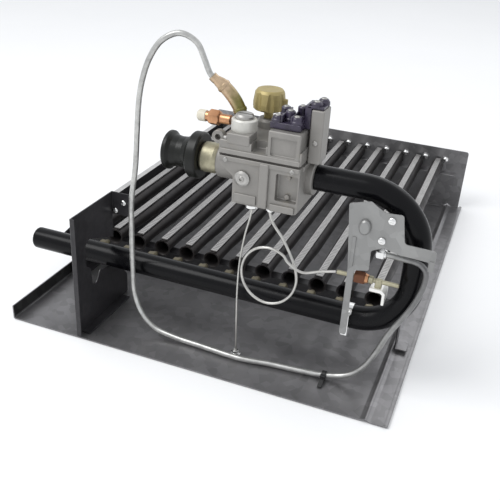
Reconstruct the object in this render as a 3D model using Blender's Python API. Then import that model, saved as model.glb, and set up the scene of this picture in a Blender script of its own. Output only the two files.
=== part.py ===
"""Gas burner assembly: tray, twelve ribbon burners, manifold, gas valve and pilot gear.

Object frame: +X to the right, +Y to the rear, +Z up, origin at the middle of the
tray's underside. Lengths below are in millimetres and are turned into metres by put().
"""
import math

import bmesh
import bpy
from mathutils import Matrix, Vector

MM = 0.001
GAP = 0.3

# Tray and sheet metal
TRAY_HALF_W = 233.0
TRAY_HALF_D = 307.5
SHEET = 1.5
LIP_H = 18.7
REAR_H = 102.7
REAR_Y = 304.0
REAR_RIGHT_X = 227.0
RAIL_X = -221.5
RAIL_TOP = 80.5
CROSS_TOP = 62.9
CROSS_X0, CROSS_X1 = -221.2, 213.7

# Side plate that carries the manifold
PLATE_X = -141.0
PLATE_TOP = 155.7
PLATE_FRONT = -306.0
PLATE_REAR = -220.0

# Burners
BURNERS = 12
PITCH = 34.0
FIRST_X = -194.0
BURNER_FRONT = -180.5
BURNER_REAR = 299.4
BURNER_TOP = 83.6
TUBE_Z = 73.3
TUBE_R = 10.0
RIBBON_HALF = 4.0

# Manifold
PIPE_R = 13.35
PIPE_BORE = 10.5
PIPE_Y = -231.7
PIPE_Z = 75.5
PIPE_LEFT = -244.0
RISER_X = 224.5
LOW_BEND_R = 55.0
TOP_BEND_R = 62.5
UPPER_Z = 229.0
PIPE_END_X = 90.0
SPUD_TIP = -201.0

# Gas valve
VALVE_X0, VALVE_X1 = 16.0, 103.0
VALVE_Y0, VALVE_Y1 = -270.0, -194.0
BODY_Z0, BODY_Z1 = 199.0, 249.0
COVER_Z0, COVER_Z1 = 251.0, 265.0
PORT_R = 13.65
SEAT_X = 50.0
KNOB_X, KNOB_Y = 45.0, -208.0
TOWER_X, TOWER_Y = 35.3, -252.0
TAKE_OFF_X, TAKE_OFF_Y = 22.0, -226.0
CORE_X, CORE_Y = 109.9, -240.0

# Pilot gear
PILOT_Z = 136.0


def material(name, color, metallic, roughness):
    mat = bpy.data.materials.new(name)
    mat.use_nodes = True
    bsdf = mat.node_tree.nodes["Principled BSDF"]
    bsdf.inputs["Base Color"].default_value = (*color, 1.0)
    bsdf.inputs["Metallic"].default_value = metallic
    bsdf.inputs["Roughness"].default_value = roughness
    mat.diffuse_color = (*color, 1.0)
    return mat


def put(name, bm, mat, origin=(0.0, 0.0, 0.0)):
    """Turn a millimetre bmesh into an object in metres with its origin on a point."""
    bmesh.ops.remove_doubles(bm, verts=bm.verts, dist=1e-4)
    bmesh.ops.recalc_face_normals(bm, faces=bm.faces)
    shift = Vector(origin)
    for vert in bm.verts:
        vert.co = (vert.co - shift) * MM
    mesh = bpy.data.meshes.new(name)
    bm.to_mesh(mesh)
    bm.free()
    obj = bpy.data.objects.new(name, mesh)
    obj.location = shift * MM
    bpy.context.collection.objects.link(obj)
    if mat is not None:
        mesh.materials.append(mat)
    return obj


def combine(obj, tools, operation):
    """Cut tools from obj, or join them to it, and keep the result as plain mesh."""
    for tool in tools:
        mod = obj.modifiers.new("op", "BOOLEAN")
        mod.operation = operation
        mod.solver = "EXACT"
        mod.object = tool
    bpy.context.view_layer.update()
    graph = bpy.context.evaluated_depsgraph_get()
    mesh = bpy.data.meshes.new_from_object(obj.evaluated_get(graph))
    obj.modifiers.clear()
    old = obj.data
    obj.data = mesh
    bpy.data.meshes.remove(old)
    mesh.name = obj.name
    for tool in tools:
        bpy.data.objects.remove(tool)
    bm = bmesh.new()
    bm.from_mesh(mesh)
    bmesh.ops.remove_doubles(bm, verts=bm.verts, dist=2e-6)
    bmesh.ops.dissolve_degenerate(bm, edges=bm.edges, dist=1e-6)
    bm.to_mesh(mesh)
    bm.free()
    return obj


def box(lo, hi, bm=None):
    bm = bm or bmesh.new()
    made = bmesh.ops.create_cube(bm, size=1.0)["verts"]
    size = [hi[i] - lo[i] for i in range(3)]
    mid = [(hi[i] + lo[i]) / 2 for i in range(3)]
    for vert in made:
        vert.co = Vector([vert.co[i] * size[i] + mid[i] for i in range(3)])
    return bm


def prism(points, axis, lo, hi, bm=None):
    """Extrude a closed outline, given in the two axes left of `axis`, from lo to hi."""
    bm = bm or bmesh.new()

    def place(point, level):
        if axis == "X":
            return Vector((level, point[0], point[1]))
        if axis == "Y":
            return Vector((point[0], level, point[1]))
        return Vector((point[0], point[1], level))

    low = [bm.verts.new(place(p, lo)) for p in points]
    high = [bm.verts.new(place(p, hi)) for p in points]
    count = len(points)
    bm.faces.new(low)
    bm.faces.new(high)
    for i in range(count):
        j = (i + 1) % count
        bm.faces.new((low[i], low[j], high[j], high[i]))
    return bm


def lathe(profile, centre, axis, segments, bm=None, phase=0.0):
    """Spin (radius, height) pairs about an axis; an end radius of 0 closes that end."""
    bm = bm or bmesh.new()
    turn = {"X": Matrix.Rotation(math.pi / 2, 3, "Y"),
            "Y": Matrix.Rotation(-math.pi / 2, 3, "X"),
            "Z": Matrix.Identity(3)}[axis]
    centre = Vector(centre)
    rings = []
    for radius, height in profile:
        if radius <= 0:
            rings.append([bm.verts.new(centre + turn @ Vector((0, 0, height)))])
            continue
        ring = []
        for k in range(segments):
            angle = phase + 2 * math.pi * k / segments
            local = Vector((radius * math.cos(angle), radius * math.sin(angle), height))
            ring.append(bm.verts.new(centre + turn @ local))
        rings.append(ring)
    closed = len(rings[0]) > 1
    pairs = list(zip(rings, rings[1:]))
    if closed:
        pairs.append((rings[-1], rings[0]))
    for a, b in pairs:
        for k in range(segments):
            n = (k + 1) % segments
            face = []
            for vert in (a[k % len(a)], a[n % len(a)], b[n % len(b)], b[k % len(b)]):
                if vert not in face:
                    face.append(vert)
            if len(face) > 2:
                bm.faces.new(face)
    return bm


def frames(points):
    """Tangents and steady cross directions along a path."""
    tangents = []
    for i in range(len(points)):
        before = points[max(i - 1, 0)]
        after = points[min(i + 1, len(points) - 1)]
        tangents.append((after - before).normalized())
    side = tangents[0].orthogonal().normalized()
    out = []
    for tangent in tangents:
        side = (side - tangent * side.dot(tangent)).normalized()
        out.append((side.copy(), tangent.cross(side)))
    return out


def sweep(points, radius, segments, bore=0.0, blind=False, bm=None):
    """Round bar or tube along a path; a blind tube is closed at its first point."""
    bm = bm or bmesh.new()
    points = [Vector(p) for p in points]
    cross = frames(points)
    if not callable(radius):
        fixed = radius
        radius = lambda i: fixed

    def ring(i, r):
        u, v = cross[i]
        return [bm.verts.new(points[i] + (u * math.cos(a) + v * math.sin(a)) * r)
                for a in (2 * math.pi * k / segments for k in range(segments))]

    def skin(a, b):
        for k in range(segments):
            n = (k + 1) % segments
            bm.faces.new((a[k], a[n], b[n], b[k]))

    outer = [ring(i, radius(i)) for i in range(len(points))]
    for a, b in zip(outer, outer[1:]):
        skin(a, b)
    if not bore:
        bm.faces.new(outer[0])
        bm.faces.new(outer[-1])
        return bm
    inner_from = 1 if blind else 0
    inner = [ring(i, bore) for i in range(inner_from, len(points))]
    for a, b in zip(inner, inner[1:]):
        skin(a, b)
    skin(outer[-1], inner[-1])
    if blind:
        bm.faces.new(outer[0])
        bm.faces.new(inner[0])
    else:
        skin(outer[0], inner[0])
    return bm


def smooth_path(knots, step):
    """Points along a smooth curve through the knots, about `step` apart."""
    knots = [Vector(k) for k in knots]
    ends = [knots[0] * 2 - knots[1]] + knots + [knots[-1] * 2 - knots[-2]]
    out = []
    for i in range(1, len(ends) - 2):
        p0, p1, p2, p3 = ends[i - 1:i + 3]
        t01 = max((p1 - p0).length, 1e-6) ** 0.5
        t12 = max((p2 - p1).length, 1e-6) ** 0.5
        t23 = max((p3 - p2).length, 1e-6) ** 0.5
        m1 = (p2 - p1) + ((p1 - p0) / t01 - (p2 - p0) / (t01 + t12)) * t12
        m2 = (p2 - p1) + ((p3 - p2) / t23 - (p3 - p1) / (t12 + t23)) * t12
        count = max(1, round((p2 - p1).length / step))
        for k in range(count):
            t = k / count
            out.append((2 * t ** 3 - 3 * t ** 2 + 1) * p1 + (t ** 3 - 2 * t ** 2 + t) * m1
                       + (-2 * t ** 3 + 3 * t ** 2) * p2 + (t ** 3 - t ** 2) * m2)
    out.append(knots[-1])
    return out


def tube_object(name, points, radius, mat, detail=2):
    """A drawn tube as a curve with round section and filled ends."""
    curve = bpy.data.curves.new(name, "CURVE")
    curve.dimensions = "3D"
    curve.bevel_depth = radius * MM
    curve.bevel_resolution = detail
    curve.use_fill_caps = True
    spline = curve.splines.new("POLY")
    spline.points.add(len(points) - 1)
    for slot, point in zip(spline.points, points):
        slot.co = (point[0] * MM, point[1] * MM, point[2] * MM, 1.0)
    curve.materials.append(mat)
    obj = bpy.data.objects.new(name, curve)
    bpy.context.collection.objects.link(obj)
    return obj


def burner_x(index):
    return FIRST_X + PITCH * index


def build_tray(galvanised):
    w, t = TRAY_HALF_W, SHEET
    outline = [(-w, 0), (203, 0), (208.5, 3), (214, 0), (w, 0), (w, 3.2), (w - 4, 3.2),
               (w - 4, t), (214, t), (208.5, 3 + t), (203, t), (-w + t, t),
               (-w + t, LIP_H), (-w, LIP_H)]
    put("base_tray", prism(outline, "Y", -TRAY_HALF_D, TRAY_HALF_D), galvanised)


def build_rear(galvanised, steel):
    t = SHEET
    left, low = -TRAY_HALF_W + t + GAP, t + GAP
    outline = [(left, low), (202, low), (208.5, low + 3.6), (215, low), (REAR_RIGHT_X, low),
               (REAR_RIGHT_X, REAR_H), (left, REAR_H)]
    panel = put("rear_panel", prism(outline, "Y", REAR_Y, REAR_Y + t), galvanised)
    foot = box((-208, REAR_Y - 12, low), (200, REAR_Y + 0.5, low + t))
    combine(panel, [put("add", foot, None)], "UNION")
    holes = bmesh.new()
    for i in range(BURNERS):
        lathe([(0, -3), (3.0, -3), (3.0, 4), (0, 4)],
              (burner_x(i) + 11.6, REAR_Y, BURNER_TOP), "Y", 8, holes)
    combine(panel, [put("cut", holes, None)], "DIFFERENCE")
    y = REAR_Y + 0.5
    shelf = [(y, 40), (REAR_Y - t, 40), (REAR_Y - t, CROSS_TOP - t), (y - 14, CROSS_TOP - t),
             (y - 14, CROSS_TOP), (y, CROSS_TOP)]
    combine(panel, [put("add", prism(shelf, "X", CROSS_X0, CROSS_X1), None)], "UNION")

    y0 = REAR_Y + t + GAP
    strip = put("rear_stud_strip", box((-192, y0, 76), (200, y0 + t, 92)), steel)
    studs = bmesh.new()
    for i in range(BURNERS):
        lathe([(0, -4.2), (4.2, -2.6), (4.2, -GAP), (2.3, -GAP), (2.3, 2.6), (0, 2.6)],
              (burner_x(i) + 11.6, REAR_Y, BURNER_TOP), "Y", 8, studs)
    combine(strip, [put("add", studs, None)], "UNION")


def build_rails(black):
    t = SHEET
    side = [(-186, t + GAP), (REAR_Y - GAP, t + GAP), (REAR_Y - GAP, RAIL_TOP),
            (-178, RAIL_TOP), (-207, 76), (-207, 69), (-186, 50)]
    rail = put("left_rail", prism(side, "X", RAIL_X - t, RAIL_X), black)
    extra = box((RAIL_X - t - 7, -170, RAIL_TOP - t), (RAIL_X - 0.5, REAR_Y - GAP, RAIL_TOP))
    combine(rail, [put("add", extra, None)], "UNION")
    foot = box((RAIL_X - 0.5, -180, t + GAP), (RAIL_X + 11, REAR_Y - 14, 2 * t + GAP))
    combine(rail, [put("add", foot, None)], "UNION")

    angle = [(-170, 36), (-168.5, 36), (-168.5, CROSS_TOP - t), (-156, CROSS_TOP - t),
             (-156, CROSS_TOP), (-170, CROSS_TOP)]
    cross = put("front_cross_rail", prism(angle, "X", CROSS_X0, CROSS_X1), black)
    x, z = CROSS_X1 - t, CROSS_TOP
    post = [(x, z), (x, 4.8), (x + 13, 4.8), (x + 13, 4.8 + t), (x + t, 4.8 + t), (x + t, z)]
    combine(cross, [put("add", prism(post, "Y", -170, -152), None)], "UNION")


def screw_pair(name, sheet, spots, face, thickness, head_r, steel):
    """Two screws through a sheet that faces the front, tapped into one nut strip behind it."""
    holes, screws = bmesh.new(), bmesh.new()
    back = thickness + GAP
    for spot in spots:
        spot = (spot[0], face, spot[2])
        lathe([(0, -2), (2.0, -2), (2.0, thickness + 2), (0, thickness + 2)], spot, "Y", 10, holes)
        lathe([(0, -3.2), (head_r * 0.6, -3.0), (head_r, -1.3), (head_r, -GAP), (1.6, -GAP),
               (1.6, back + 0.8), (0, back + 0.8)], spot, "Y", 10, screws)
    combine(sheet, [put("cut", holes, None)], "DIFFERENCE")
    xs, zs = [s[0] for s in spots], [s[2] for s in spots]
    strip = box((min(xs) - 3, face + back, min(zs) - 4), (max(xs) + 3, face + back + 1.5, max(zs) + 4))
    combine(put(name, strip, steel), [put("add", screws, None)], "UNION")


def build_side_plate(black, steel):
    t = SHEET
    outline = [(PLATE_FRONT, t + GAP), (-190, t + GAP), (-190, 28), (PLATE_REAR, 62),
               (PLATE_REAR, PLATE_TOP), (PLATE_FRONT, PLATE_TOP)]
    plate = put("side_plate", prism(outline, "X", PLATE_X - t, PLATE_X), black)
    slot = [(-282, 84), (-273, 78), (-270, 54), (-262, 51), (-256, 60), (-253, 66),
            (-246, 62), (-229, 59), (-216, 70), (-214, 92), (-226, 98), (-252, 108),
            (-272, 116), (-281, 112)]
    combine(plate, [put("cut", prism(slot, "X", PLATE_X - 6, PLATE_X + 6), None)], "DIFFERENCE")
    flanges = [
        box((PLATE_X - t, PLATE_FRONT - t, t + GAP), (PLATE_X + 5, PLATE_FRONT + 0.01, PLATE_TOP)),
        box((PLATE_X - t, PLATE_REAR - 0.01, 127), (PLATE_X + 23, PLATE_REAR + t, PLATE_TOP)),
        box((PLATE_X - 0.5, -298, t + GAP), (PLATE_X + 11, -204, 2 * t + GAP)),
    ]
    for part in flanges:
        combine(plate, [put("add", part, None)], "UNION")
    spots = ((PLATE_X + 15.8, 0, 143.9), (PLATE_X + 4.5, 0, 132.1))
    screw_pair("plate_screws", plate, spots, PLATE_REAR, t, 3.6, steel)


def burner_section(r, z, neck):
    """Outline of a burner: a round tube with the ribbon strip standing on its top."""
    top = z + r + 0.3
    half = RIBBON_HALF if neck else RIBBON_HALF * 0.8
    right = [(half, BURNER_TOP if neck else top), (half, top - 1.6 if neck else top - 0.4)]
    for deg in (45, 8, -30, -66):
        a = math.radians(deg)
        right.append((r * math.cos(a), z + r * math.sin(a)))
    return right + [(-x, h) for x, h in reversed(right)]


def build_burners(dark):
    stations = [(BURNER_FRONT - 5.5, 10.6, 75.0, False), (BURNER_FRONT - 1.0, 8.6, 75.0, False),
                (BURNER_FRONT, 8.5, 74.9, True), (BURNER_FRONT + 40, 8.6, 74.8, True),
                (BURNER_FRONT + 85, TUBE_R, TUBE_Z, True), (BURNER_REAR, TUBE_R, TUBE_Z, True)]
    for i in range(BURNERS):
        bm = bmesh.new()
        cx = burner_x(i)
        rings = []
        for y, r, z, neck in stations:
            rings.append([bm.verts.new((cx + x, y, h)) for x, h in burner_section(r, z, neck)])
        count = len(rings[0])
        for a, b in zip(rings, rings[1:]):
            for k in range(count):
                n = (k + 1) % count
                bm.faces.new((a[k], a[n], b[n], b[k]))
        bm.faces.new(rings[-1])
        inner = []
        for y, r, z in ((BURNER_FRONT - 5.5, 8.4, 75.0), (BURNER_FRONT + 1, 7.0, 75.0),
                        (BURNER_FRONT + 85, 7.6, TUBE_Z), (BURNER_REAR - 4, 7.6, TUBE_Z)):
            ring = []
            for k in range(count):
                a = math.pi / 2 - 2 * math.pi * (k + 0.5) / count
                ring.append(bm.verts.new((cx + r * math.cos(a), y, z + r * math.sin(a))))
            inner.append(ring)
        for a, b in zip(inner, inner[1:]):
            for k in range(count):
                n = (k + 1) % count
                bm.faces.new((a[k], a[n], b[n], b[k]))
        for k in range(count):
            n = (k + 1) % count
            bm.faces.new((rings[0][k], rings[0][n], inner[0][n], inner[0][k]))
        bm.faces.new(inner[-1])
        put(f"burner_{i + 1:02d}", bm, dark)


def pipe_path(segments=7):
    low_c = Vector((RISER_X - LOW_BEND_R, PIPE_Y, PIPE_Z + LOW_BEND_R))
    top_c = Vector((RISER_X - TOP_BEND_R, PIPE_Y, UPPER_Z - TOP_BEND_R))
    path = [Vector((PIPE_LEFT, PIPE_Y, PIPE_Z)), Vector((PIPE_LEFT + 3, PIPE_Y, PIPE_Z))]
    for k in range(segments + 1):
        a = math.pi / 2 * k / segments
        path.append(low_c + Vector((math.sin(a), 0, -math.cos(a))) * LOW_BEND_R)
    for k in range(segments + 1):
        a = math.pi / 2 * k / segments
        path.append(top_c + Vector((math.cos(a), 0, math.sin(a))) * TOP_BEND_R)
    path.append(Vector((PIPE_END_X, PIPE_Y, UPPER_Z)))
    return path


def build_manifold(black, brass):
    pipe = put("manifold_pipe", sweep(pipe_path(), PIPE_R, 16, PIPE_BORE, blind=True), black)
    holes = bmesh.new()
    for i in range(BURNERS):
        lathe([(0, 0), (4.6, 0), (4.6, 20), (0, 20)], (burner_x(i), PIPE_Y, PIPE_Z), "Y", 6, holes)
    combine(pipe, [put("cut", holes, None)], "DIFFERENCE")
    for i in range(BURNERS):
        back = PIPE_Y + PIPE_R
        nose = [(1.3, back - 2.6), (4.0, back - 2.6), (4.0, back + 0.8), (7.0, back + 0.8),
                (7.0, back + 9), (5.0, back + 10.5), (4.2, SPUD_TIP), (1.3, SPUD_TIP)]
        put(f"orifice_spud_{i + 1:02d}", lathe(nose, (burner_x(i), 0, PIPE_Z), "Y", 6), brass)


def build_inlet(black, brass):
    z = UPPER_Z - 1.0
    coupling = [(13.6, -60), (20.0, -60), (21.5, -58.5), (21.5, -55), (17.8, -51), (16.6, -45),
                (17.2, -38), (20.0, -32), (25.0, -29.5), (25.5, -28.5), (25.5, -19), (24.0, -17.6),
                (13.6, -17.6)]
    put("inlet_coupling", lathe(coupling, (0, PIPE_Y, z), "X", 18), black)
    bushing = [(9.0, -33), (13.0, -33), (13.0, -17), (15.5, -17), (16.5, -15), (16.5, -1),
               (15.5, 2.6), (13.3, 2.6), (13.3, 18), (9.0, 18)]
    put("inlet_bushing", lathe(bushing, (0, PIPE_Y, z), "X", 12), brass)


def build_valve(cast, gasket_mat, steel):
    z = UPPER_Z
    outline = [(VALVE_X0, 240), (VALVE_X0 + 16, 228), (VALVE_X0 + 16, BODY_Z0),
               (VALVE_X1 - 2, BODY_Z0), (VALVE_X1, BODY_Z0 + 2), (VALVE_X1, BODY_Z1),
               (VALVE_X0, BODY_Z1)]
    body = put("valve_body", prism(outline, "Y", VALVE_Y0, VALVE_Y1), cast)
    adds = [
        lathe([(0, 3), (17.2, 3), (18.5, 4.5), (18.5, 34), (0, 34)], (0, PIPE_Y, z - 1), "X", 20),
        lathe([(0, 98), (19.5, 98), (19.5, 109), (18.5, 110), (0, 110)], (0, PIPE_Y, z), "X", 20),
        box((61, VALVE_Y0 - 3, BODY_Z0 + 1), (71, VALVE_Y0 + 2, BODY_Z1 - 1)),
    ]
    for part in adds:
        combine(body, [put("add", part, None)], "UNION")
    chamber_x = 62.0
    cuts = [
        box((78.5, VALVE_Y0 - 1, 211), (101.5, VALVE_Y0 + 6, 240)),
        lathe([(0, -3), (PORT_R, -3), (PORT_R, 19), (9.5, 19), (9.5, SEAT_X), (0, SEAT_X)],
              (0, PIPE_Y, z - 1), "X", 20),
        lathe([(0, 80), (9.5, 80), (9.5, PIPE_END_X - 1), (PORT_R, PIPE_END_X - 1),
               (PORT_R, 120), (0, 120)], (0, PIPE_Y, z), "X", 20),
        lathe([(0, 212), (9.2, 212), (9.2, 240), (0, 240)], (SEAT_X, PIPE_Y, 0), "Z", 16),
        lathe([(0, 221), (7.5, 221), (7.5, 241), (0, 241)], (80, PIPE_Y, 0), "Z", 16),
        lathe([(0, 240), (26, 240), (26, 252), (0, 252)], (chamber_x, PIPE_Y, 0), "Z", 24),
        lathe([(0, VALVE_Y0 - 1), (5.2, VALVE_Y0 - 1), (5.2, VALVE_Y0 + 7.5), (0, VALVE_Y0 + 7.5)],
              (43, 0, 228), "Y", 14),
    ]
    for part in cuts:
        combine(body, [put("cut", part, None)], "DIFFERENCE")
    plug = [(0, VALVE_Y0 - 5), (3.0, VALVE_Y0 - 5), (3.0, VALVE_Y0 - 3), (5.5, VALVE_Y0 - 3.4),
            (8.0, VALVE_Y0 - 2.2), (8.0, VALVE_Y0 - GAP), (4.8, VALVE_Y0 - GAP),
            (4.8, VALVE_Y0 + 7), (0, VALVE_Y0 + 7)]
    put("pressure_tap_plug", lathe(plug, (43, 0, 228), "Y", 14), steel)

    seal = put("valve_gasket", box((VALVE_X0 + 0.5, VALVE_Y0 + 0.5, BODY_Z1 + GAP),
                                   (VALVE_X1 - 0.5, VALVE_Y1 - 0.5, COVER_Z0 - GAP)), gasket_mat)
    hole = lathe([(0, 245), (26, 245), (26, 255), (0, 255)], (chamber_x, PIPE_Y, 0), "Z", 24)
    combine(seal, [put("cut", hole, None)], "DIFFERENCE")

    cover = put("valve_cover", box((VALVE_X0, VALVE_Y0, COVER_Z0),
                                   (VALVE_X1, VALVE_Y1, COVER_Z1)), cast)
    adds = [
        lathe([(0, 260), (12.8, 260), (12.8, 281), (11.8, 283), (0, 283)],
              (TOWER_X, TOWER_Y, 0), "Z", 20),
        box((67.5, VALVE_Y0 - 1, COVER_Z0 + 4), (101, -222, 283)),
        lathe([(0, 260), (9.0, 260), (9.0, 271), (0, 271)], (TAKE_OFF_X, TAKE_OFF_Y, 0), "Z", 16),
    ]
    for part in adds:
        combine(cover, [put("add", part, None)], "UNION")
    cuts = [
        lathe([(0, 249), (9.5, 249), (9.5, 260), (3.5, 260), (3.5, 264.4), (0, 264.4)],
              (SEAT_X, PIPE_Y, 0), "Z", 16),
        lathe([(0, 258), (5.4, 258), (5.4, 290), (0, 290)], (KNOB_X, KNOB_Y, 0), "Z", 16),
        lathe([(0, 266), (6.3, 266), (6.3, 290), (0, 290)], (TOWER_X, TOWER_Y, 0), "Z", 16),
        lathe([(0, 262), (5.0, 262), (5.0, 290), (0, 290)], (TAKE_OFF_X, TAKE_OFF_Y, 0), "Z", 14),
        box((71, VALVE_Y0 - 2, 258), (97, VALVE_Y0 + 1, 277)),
    ]
    for part in cuts:
        combine(cover, [put("cut", part, None)], "DIFFERENCE")

    poppet = [(0, 241 - 0.6), (11.5, 241 - 0.6), (11.5, 243.2), (3.2, 243.8), (3.2, 259.5), (0, 259.5)]
    put("main_valve_poppet", lathe(poppet, (SEAT_X, PIPE_Y, 0), "Z", 16), steel,
        (SEAT_X, PIPE_Y, 241))
    turns, steps, low, high = 3.5, 35, 245.0, 258.8
    coil = [Vector((SEAT_X + 6.6 * math.cos(2 * math.pi * turns * k / steps),
                    PIPE_Y + 6.6 * math.sin(2 * math.pi * turns * k / steps),
                    low + (high - low) * k / steps)) for k in range(steps + 1)]
    put("poppet_spring", sweep(coil, 0.8, 5), steel, (SEAT_X, PIPE_Y, 259.7))

    cap = [(0, 267), (5.9, 267), (5.9, 283.3), (10.0, 283.3), (10.0, 287), (8.8, 288.2), (0, 288.2)]
    cap = put("regulator_cap", lathe(cap, (TOWER_X, TOWER_Y, 0), "Z", 20), steel)
    slot = box((TOWER_X - 9.5, TOWER_Y - 1, 286.4), (TOWER_X + 9.5, TOWER_Y + 1, 292))
    combine(cap, [put("cut", slot, None)], "DIFFERENCE")


def build_knob(brass):
    """Three-position gas cock knob with a pointer ear and finger flutes."""
    stem = [(0, 258.6), (5.05, 258.6), (5.05, 284), (16.0, 284), (17.5, 285.5), (17.5, 292),
            (15.8, 303), (13.6, 305.2), (0, 305.2)]
    knob = put("manual_knob", lathe(stem, (KNOB_X, KNOB_Y, 0), "Z", 24), brass,
               (KNOB_X, KNOB_Y, 265))
    cuts = bmesh.new()
    for k in range(8):
        a = 2 * math.pi * (k + 0.5) / 8
        lathe([(0, 278), (2.6, 278), (2.6, 310), (0, 310)],
              (KNOB_X + 18.6 * math.cos(a), KNOB_Y + 18.6 * math.sin(a), 0), "Z", 10, cuts)
    combine(knob, [put("cut", cuts, None)], "DIFFERENCE")
    ear = prism([(14, -3.0), (20.0, -1.2), (20.0, 1.2), (14, 3.0)], "Z", 286, 295)
    for vert in ear.verts:
        vert.co += Vector((KNOB_X, KNOB_Y, 0))
    combine(knob, [put("add", ear, None)], "UNION")


def build_operator(cast, dark, steel):
    x0 = VALVE_X1 + GAP
    case = put("operator_housing", box((x0, -252, 249.4), (116.5, -228, 304)), cast)
    core = lathe([(0, 251.5), (4.8, 251.5), (4.8, 296), (0, 296)], (CORE_X, CORE_Y, 0), "Z", 16)
    combine(case, [put("cut", core, None)], "DIFFERENCE")
    tap = box((x0 - 1, CORE_Y - 2, 288), (CORE_X, CORE_Y + 2, 292))
    combine(case, [put("cut", tap, None)], "DIFFERENCE")
    plunger = [(0, 252), (2.2, 252), (4.4, 255), (4.4, 284), (0, 284)]
    put("operator_plunger", lathe(plunger, (CORE_X, CORE_Y, 0), "Z", 16), steel,
        (CORE_X, CORE_Y, 252))

    block = put("terminal_block", box((66, -264, 283.3), (97.5, -227, 290)), dark)
    arm = prism([(96, 283.3), (102.9, 283.3), (102.9, 304.3), (115, 304.3), (115, 307),
                 (98, 307), (98, 290), (96, 290)], "Y", -250, -228)
    combine(block, [put("add", arm, None)], "UNION")
    posts = bmesh.new()
    for x, y, low, top in ((72, -258, 288, 297), (82, -250, 288, 301), (91.5, -258, 288, 298),
                           (90, -236, 288, 303), (73, -236, 288, 300), (106, -244.5, 306, 312),
                           (110.4, -233.6, 306, 313)):
        lathe([(0, low), (4.5, low), (4.5, top - 2), (3.0, top), (0, top)], (x, y, 0), "Z", 10, posts)
    combine(block, [put("add", posts, None)], "UNION")


def build_pilot_take_off(brass, copper):
    """Bent pilot gas outlet on the valve, its side branch and the tube nut."""
    path = [(TAKE_OFF_X, TAKE_OFF_Y, 262.6), (TAKE_OFF_X, TAKE_OFF_Y, 272.4)]
    path += smooth_path([(22, -226, 273.2), (21, -226, 280), (16.5, -226, 289), (9, -227, 299),
                         (0, -228.5, 307.5), (-6.5, -230, 312)], 6)
    last = len(path) - 1

    def radius(i):
        return 4.6 if i < 2 else (6.6 if i < last - 1 else 5.4)

    put("pilot_outlet_elbow", sweep(path, radius, 12), brass)
    side = [(0, -25), (4.6, -25), (6.2, -23), (6.2, -11), (7.6, -10), (7.6, 0), (5.2, 1), (5.2, 12.3),
            (0, 12.3)]
    put("copper_branch", lathe(side, (0, -232, 273), "X", 12), copper)


def pilot_tube_knots():
    return [(-8.2, -230.4, 313.2), (-12.5, -231.8, 317.5), (-17.5, -235.5, 332), (-25, -240, 349.5),
            (-41, -245, 357), (-59, -248, 348.5), (-72, -250, 330), (-80.5, -251, 306), (-85, -251, 283),
            (-87.2, -252, 250), (-89.5, -253, 209), (-95, -254, 166), (-95, -255, 122), (-93.5, -257, 80),
            (-91, -259, 50), (-80, -262, 27), (-62, -264, 12), (-36, -265, 7), (0, -266.5, 6),
            (51, -268.6, 5.6), (86, -263.5, 5.6), (121, -260.5, 5.8), (150, -257, 6.4),
            (175, -254, 13), (190, -253, 28), (200, -252.5, 48), (211, -252, 78), (224, -251.5, 104),
            (233, -251, 126), (237.5, -250.8, 146), (236.5, -250.5, 159), (229, -250.2, 166),
            (216, -249.2, 167), (204, -247.8, 167), (196, -247.2, 167), (188, -247.2, 167)]


def build_pilot_line(aluminium, steel, black):
    tube_object("pilot_tube", smooth_path(pilot_tube_knots(), 15), 3.1, aluminium, 2)
    put("pilot_tube_nut", lathe([(4.0, 185), (5.6, 185), (6.3, 186), (6.3, 193), (5.6, 195), (4.0, 195)],
                                (0, -247.2, 167), "X", 6), steel)
    tie = bmesh.new()
    lathe([(3.9, -2.6), (4.8, -2.6), (4.8, 2.6), (3.9, 2.6)], (149, -257, 6.6), "X", 14, tie)
    tie = put("tube_tie", tie, black)
    tail = prism([(-261, 2.0), (-261, 6.5), (-259.8, 8.5), (-265, 9.5), (-276, 3.4), (-276, 2.0)], "X",
                 146.4, 151.6)
    combine(tie, [put("add", tail, None)], "UNION")


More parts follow.
